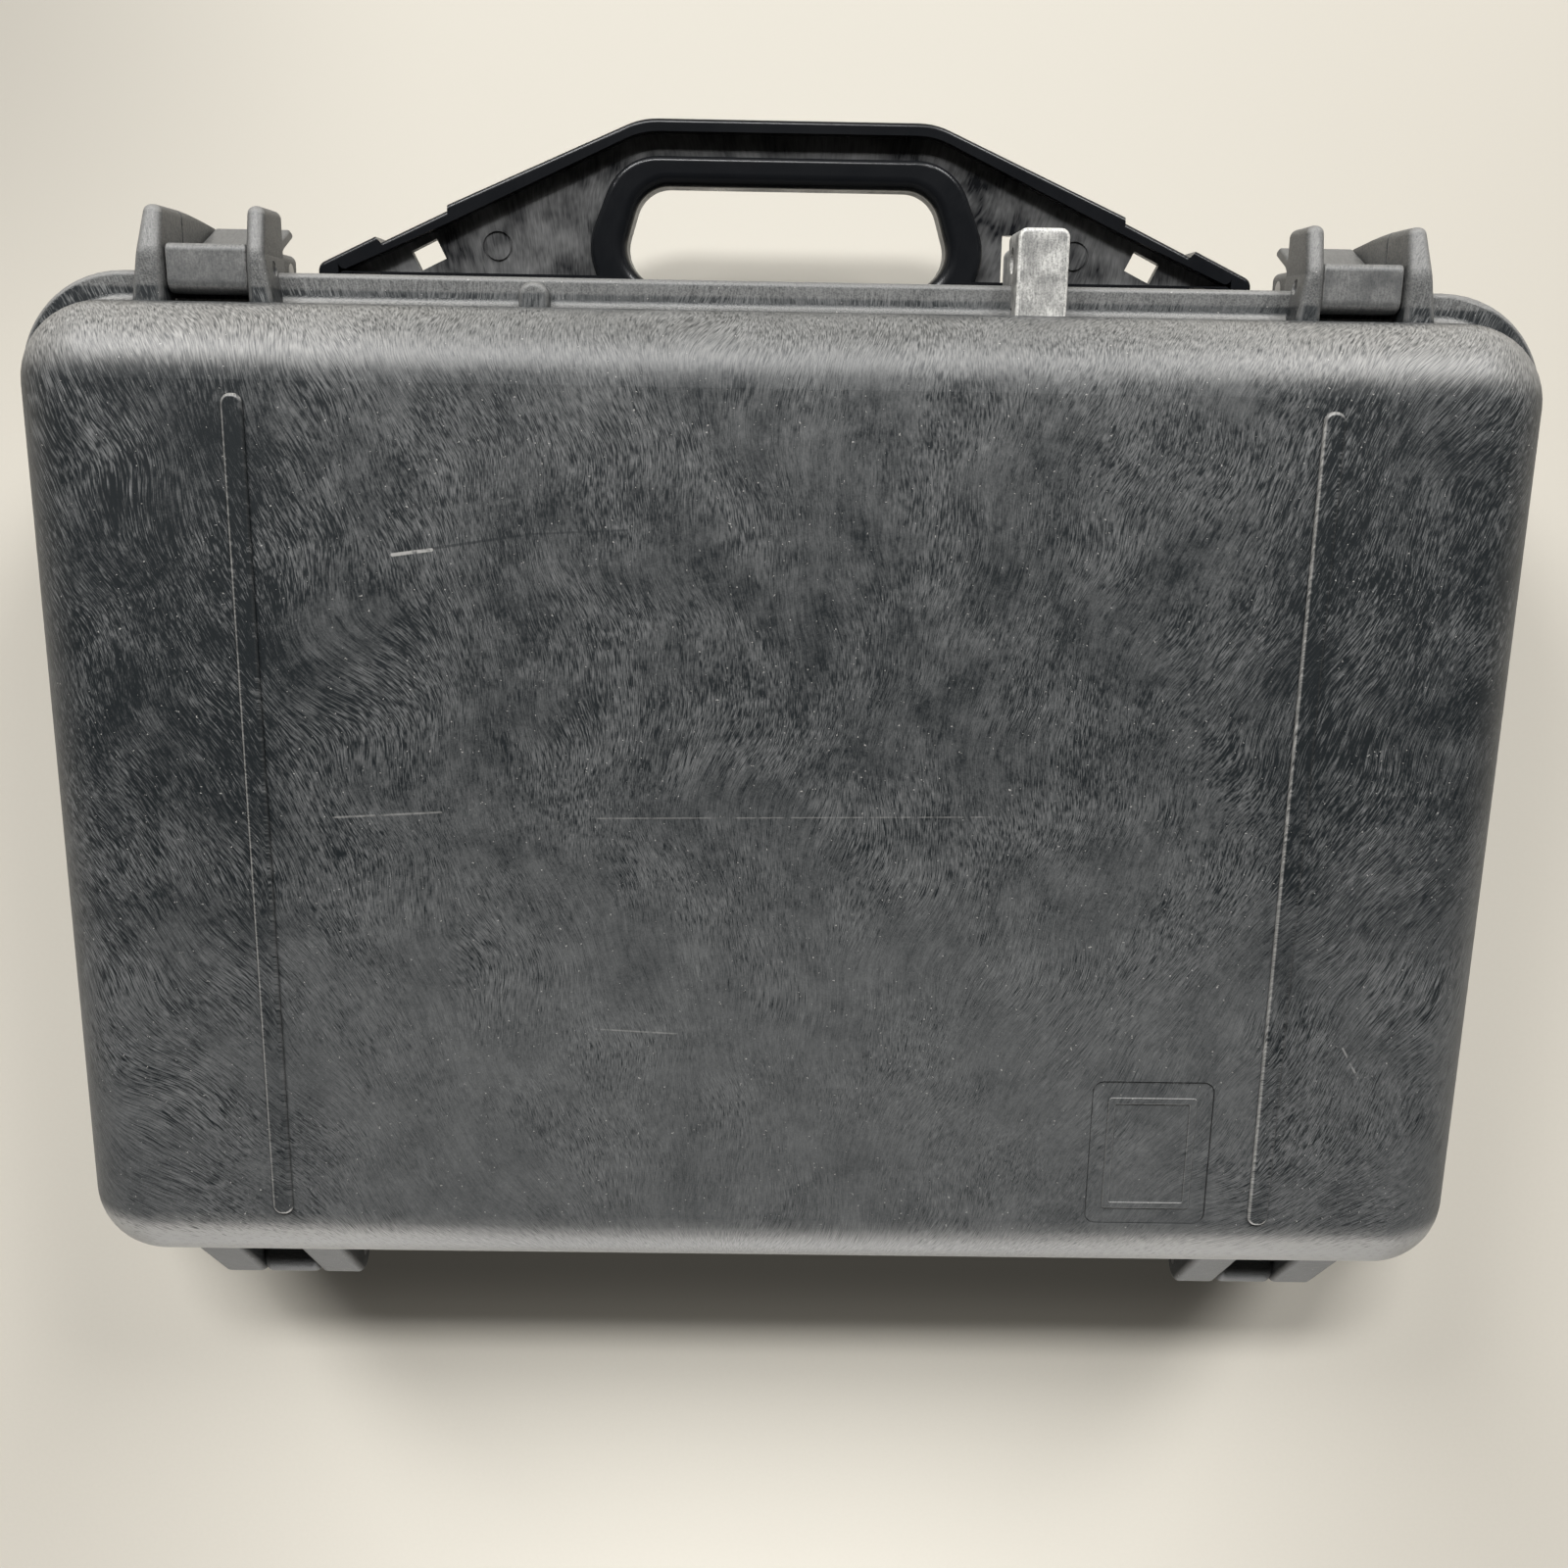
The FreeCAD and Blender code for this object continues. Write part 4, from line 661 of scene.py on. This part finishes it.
def add_camera(shot):
    """Sets up the camera from its place and tilt beside the standing case."""
    pitch, yaw, roll = shot.pitch, shot.yaw, shot.roll
    ahead = Vector((math.sin(yaw) * math.cos(pitch), math.cos(yaw) * math.cos(pitch), -math.sin(pitch)))
    level = Vector((math.cos(yaw), -math.sin(yaw), 0.0))
    upright = level.cross(ahead)
    right = math.cos(roll) * level + math.sin(roll) * upright
    up = math.cos(roll) * upright - math.sin(roll) * level
    axes = [lying(right), lying(up), -lying(ahead)]
    camera = bpy.data.objects.new("camera", bpy.data.cameras.new("camera"))
    camera.data.sensor_width = SENSOR
    camera.data.lens = shot.focal / PHOTO_SIZE * SENSOR
    rim_middle = Vector((0.0, BODY_MIDDLE, (LID_LOW.z + BASE_HIGH.z) / 2))
    rotation = Matrix(axes).transposed().to_4x4()
    camera.matrix_world = Matrix.Translation(rim_middle + lying(shot.place)) @ rotation
    bpy.context.scene.collection.objects.link(camera)
    bpy.context.scene.camera = camera


def floor_paper(stage):
    """Pale paper with painted shade beyond the latches, to the sides, in one corner and along the hinge, that
    turns into a plain haze far from the case.
    """
    finish = Finish("floor_paper")
    x, y, _ = finish.split(finish.place)
    side = finish.absolute(x)
    fibre = finish.band(finish.noise(finish.place, 0.0015, 4.0, 0.7), 0.3, 0.7)
    # Painted shade: darker paper beyond the latches and towards the sides.
    paper = finish.mix(finish.band(y, *FLOOR_DEPTH), stage.floor_far_shade, stage.floor)
    to_side = finish.line(fibre, 0.03, finish.band(side, *FLOOR_SIDES, 0.0, 0.6))
    colour = finish.mix(to_side, paper, stage.floor_side_shade)
    # Painted shade in one corner and a painted shadow along the hinge.
    corner = finish.times(finish.band(x, *DIM_CORNER_X), finish.band(y, *DIM_CORNER_Y, 0.0, stage.corner_dim))
    along_hinge = finish.times(finish.band(side, *DIM_HINGE_X), finish.band(y, *DIM_HINGE_START))
    along_hinge = finish.times(along_hinge, finish.band(y, *DIM_HINGE_END, 0.0, stage.hinge_dim))
    colour = finish.mix(finish.largest(corner, along_hinge), colour, stage.floor_painted_shade)
    ray = finish.add("LightPath").outputs
    seen = finish.largest(ray["Is Camera Ray"], ray["Is Glossy Ray"], ray["Is Transmission Ray"])
    haze = finish.add("Emission", {"Color": (*stage.sky, 1.0),
                                   "Strength": finish.times(seen, stage.horizon_level)})
    far = finish.band(finish.vector("LENGTH", finish.place), *HAZE_ZONE)
    sheet = finish.add("MixShader", {0: far, 1: finish.shader(colour, 0.9), 2: haze.outputs[0]})
    return finish.close(sheet.outputs[0])


def add_floor(stage):
    """A level sheet of paper under the case."""
    mesh = bpy.data.meshes.new("floor")
    reach = FLOOR_REACH
    corners = [(-reach, -reach, 0.0), (reach, -reach, 0.0), (reach, reach, 0.0), (-reach, reach, 0.0)]
    mesh.from_pydata(corners, [], [(0, 1, 2, 3)])
    mesh.materials.append(floor_paper(stage))
    floor = bpy.data.objects.new("floor", mesh)
    bpy.context.scene.collection.objects.link(floor)


class CASE_OT_stage(bpy.types.Operator):
    """Pale floor, soft lamps and the camera"""
    bl_idname = "hard_case.stage"
    bl_label = "Floor, Lamps and Camera"

    def execute(self, context):
        settings = settings_of(context)
        stage = settings.stage
        context.scene.view_settings.view_transform = "Standard"
        add_sky(stage)
        for name, power_name, place, (width, height) in LAMPS:
            add_lamp(name, place, (0.0, 0.0, LID_FACE), getattr(stage, power_name), width, height)
        add_floor(stage)
        add_camera(settings.shot)
        return {"FINISHED"}


class CASE_PT_looks(bpy.types.Panel):
    """Lists the case's finishes and its stage"""
    bl_idname = "CASE_PT_looks"
    bl_label = "Hard Case"
    bl_space_type = "VIEW_3D"
    bl_region_type = "UI"
    bl_category = "Hard Case"

    def draw(self, context):
        for operator in OPERATORS:
            self.layout.operator(operator.bl_idname)
        settings = settings_of(context)
        for group in (settings.plastic, settings.fittings, settings.hardware, settings.shot, settings.stage):
            box = self.layout.box()
            for name in group.__annotations__:
                box.prop(group, name)


OPERATORS = (CASE_OT_shells, CASE_OT_fittings, CASE_OT_handle, CASE_OT_hardware, CASE_OT_stage)
GROUPS = (CasePlastic, CaseFittings, CaseHardware, CaseShot, CaseStage, CaseSettings)
CLASSES = (*GROUPS, *OPERATORS, CASE_PT_looks)


def register():
    for cls in CLASSES:
        bpy.utils.register_class(cls)
    bpy.types.Scene.hard_case = PointerProperty(type=CaseSettings)


def unregister():
    del bpy.types.Scene.hard_case
    for cls in reversed(CLASSES):
        bpy.utils.unregister_class(cls)


def main():
    register()
    bpy.ops.hard_case.shells()
    bpy.ops.hard_case.fittings()
    bpy.ops.hard_case.handle()
    bpy.ops.hard_case.hardware()
    bpy.ops.hard_case.stage()


if __name__ == "__main__":
    main()
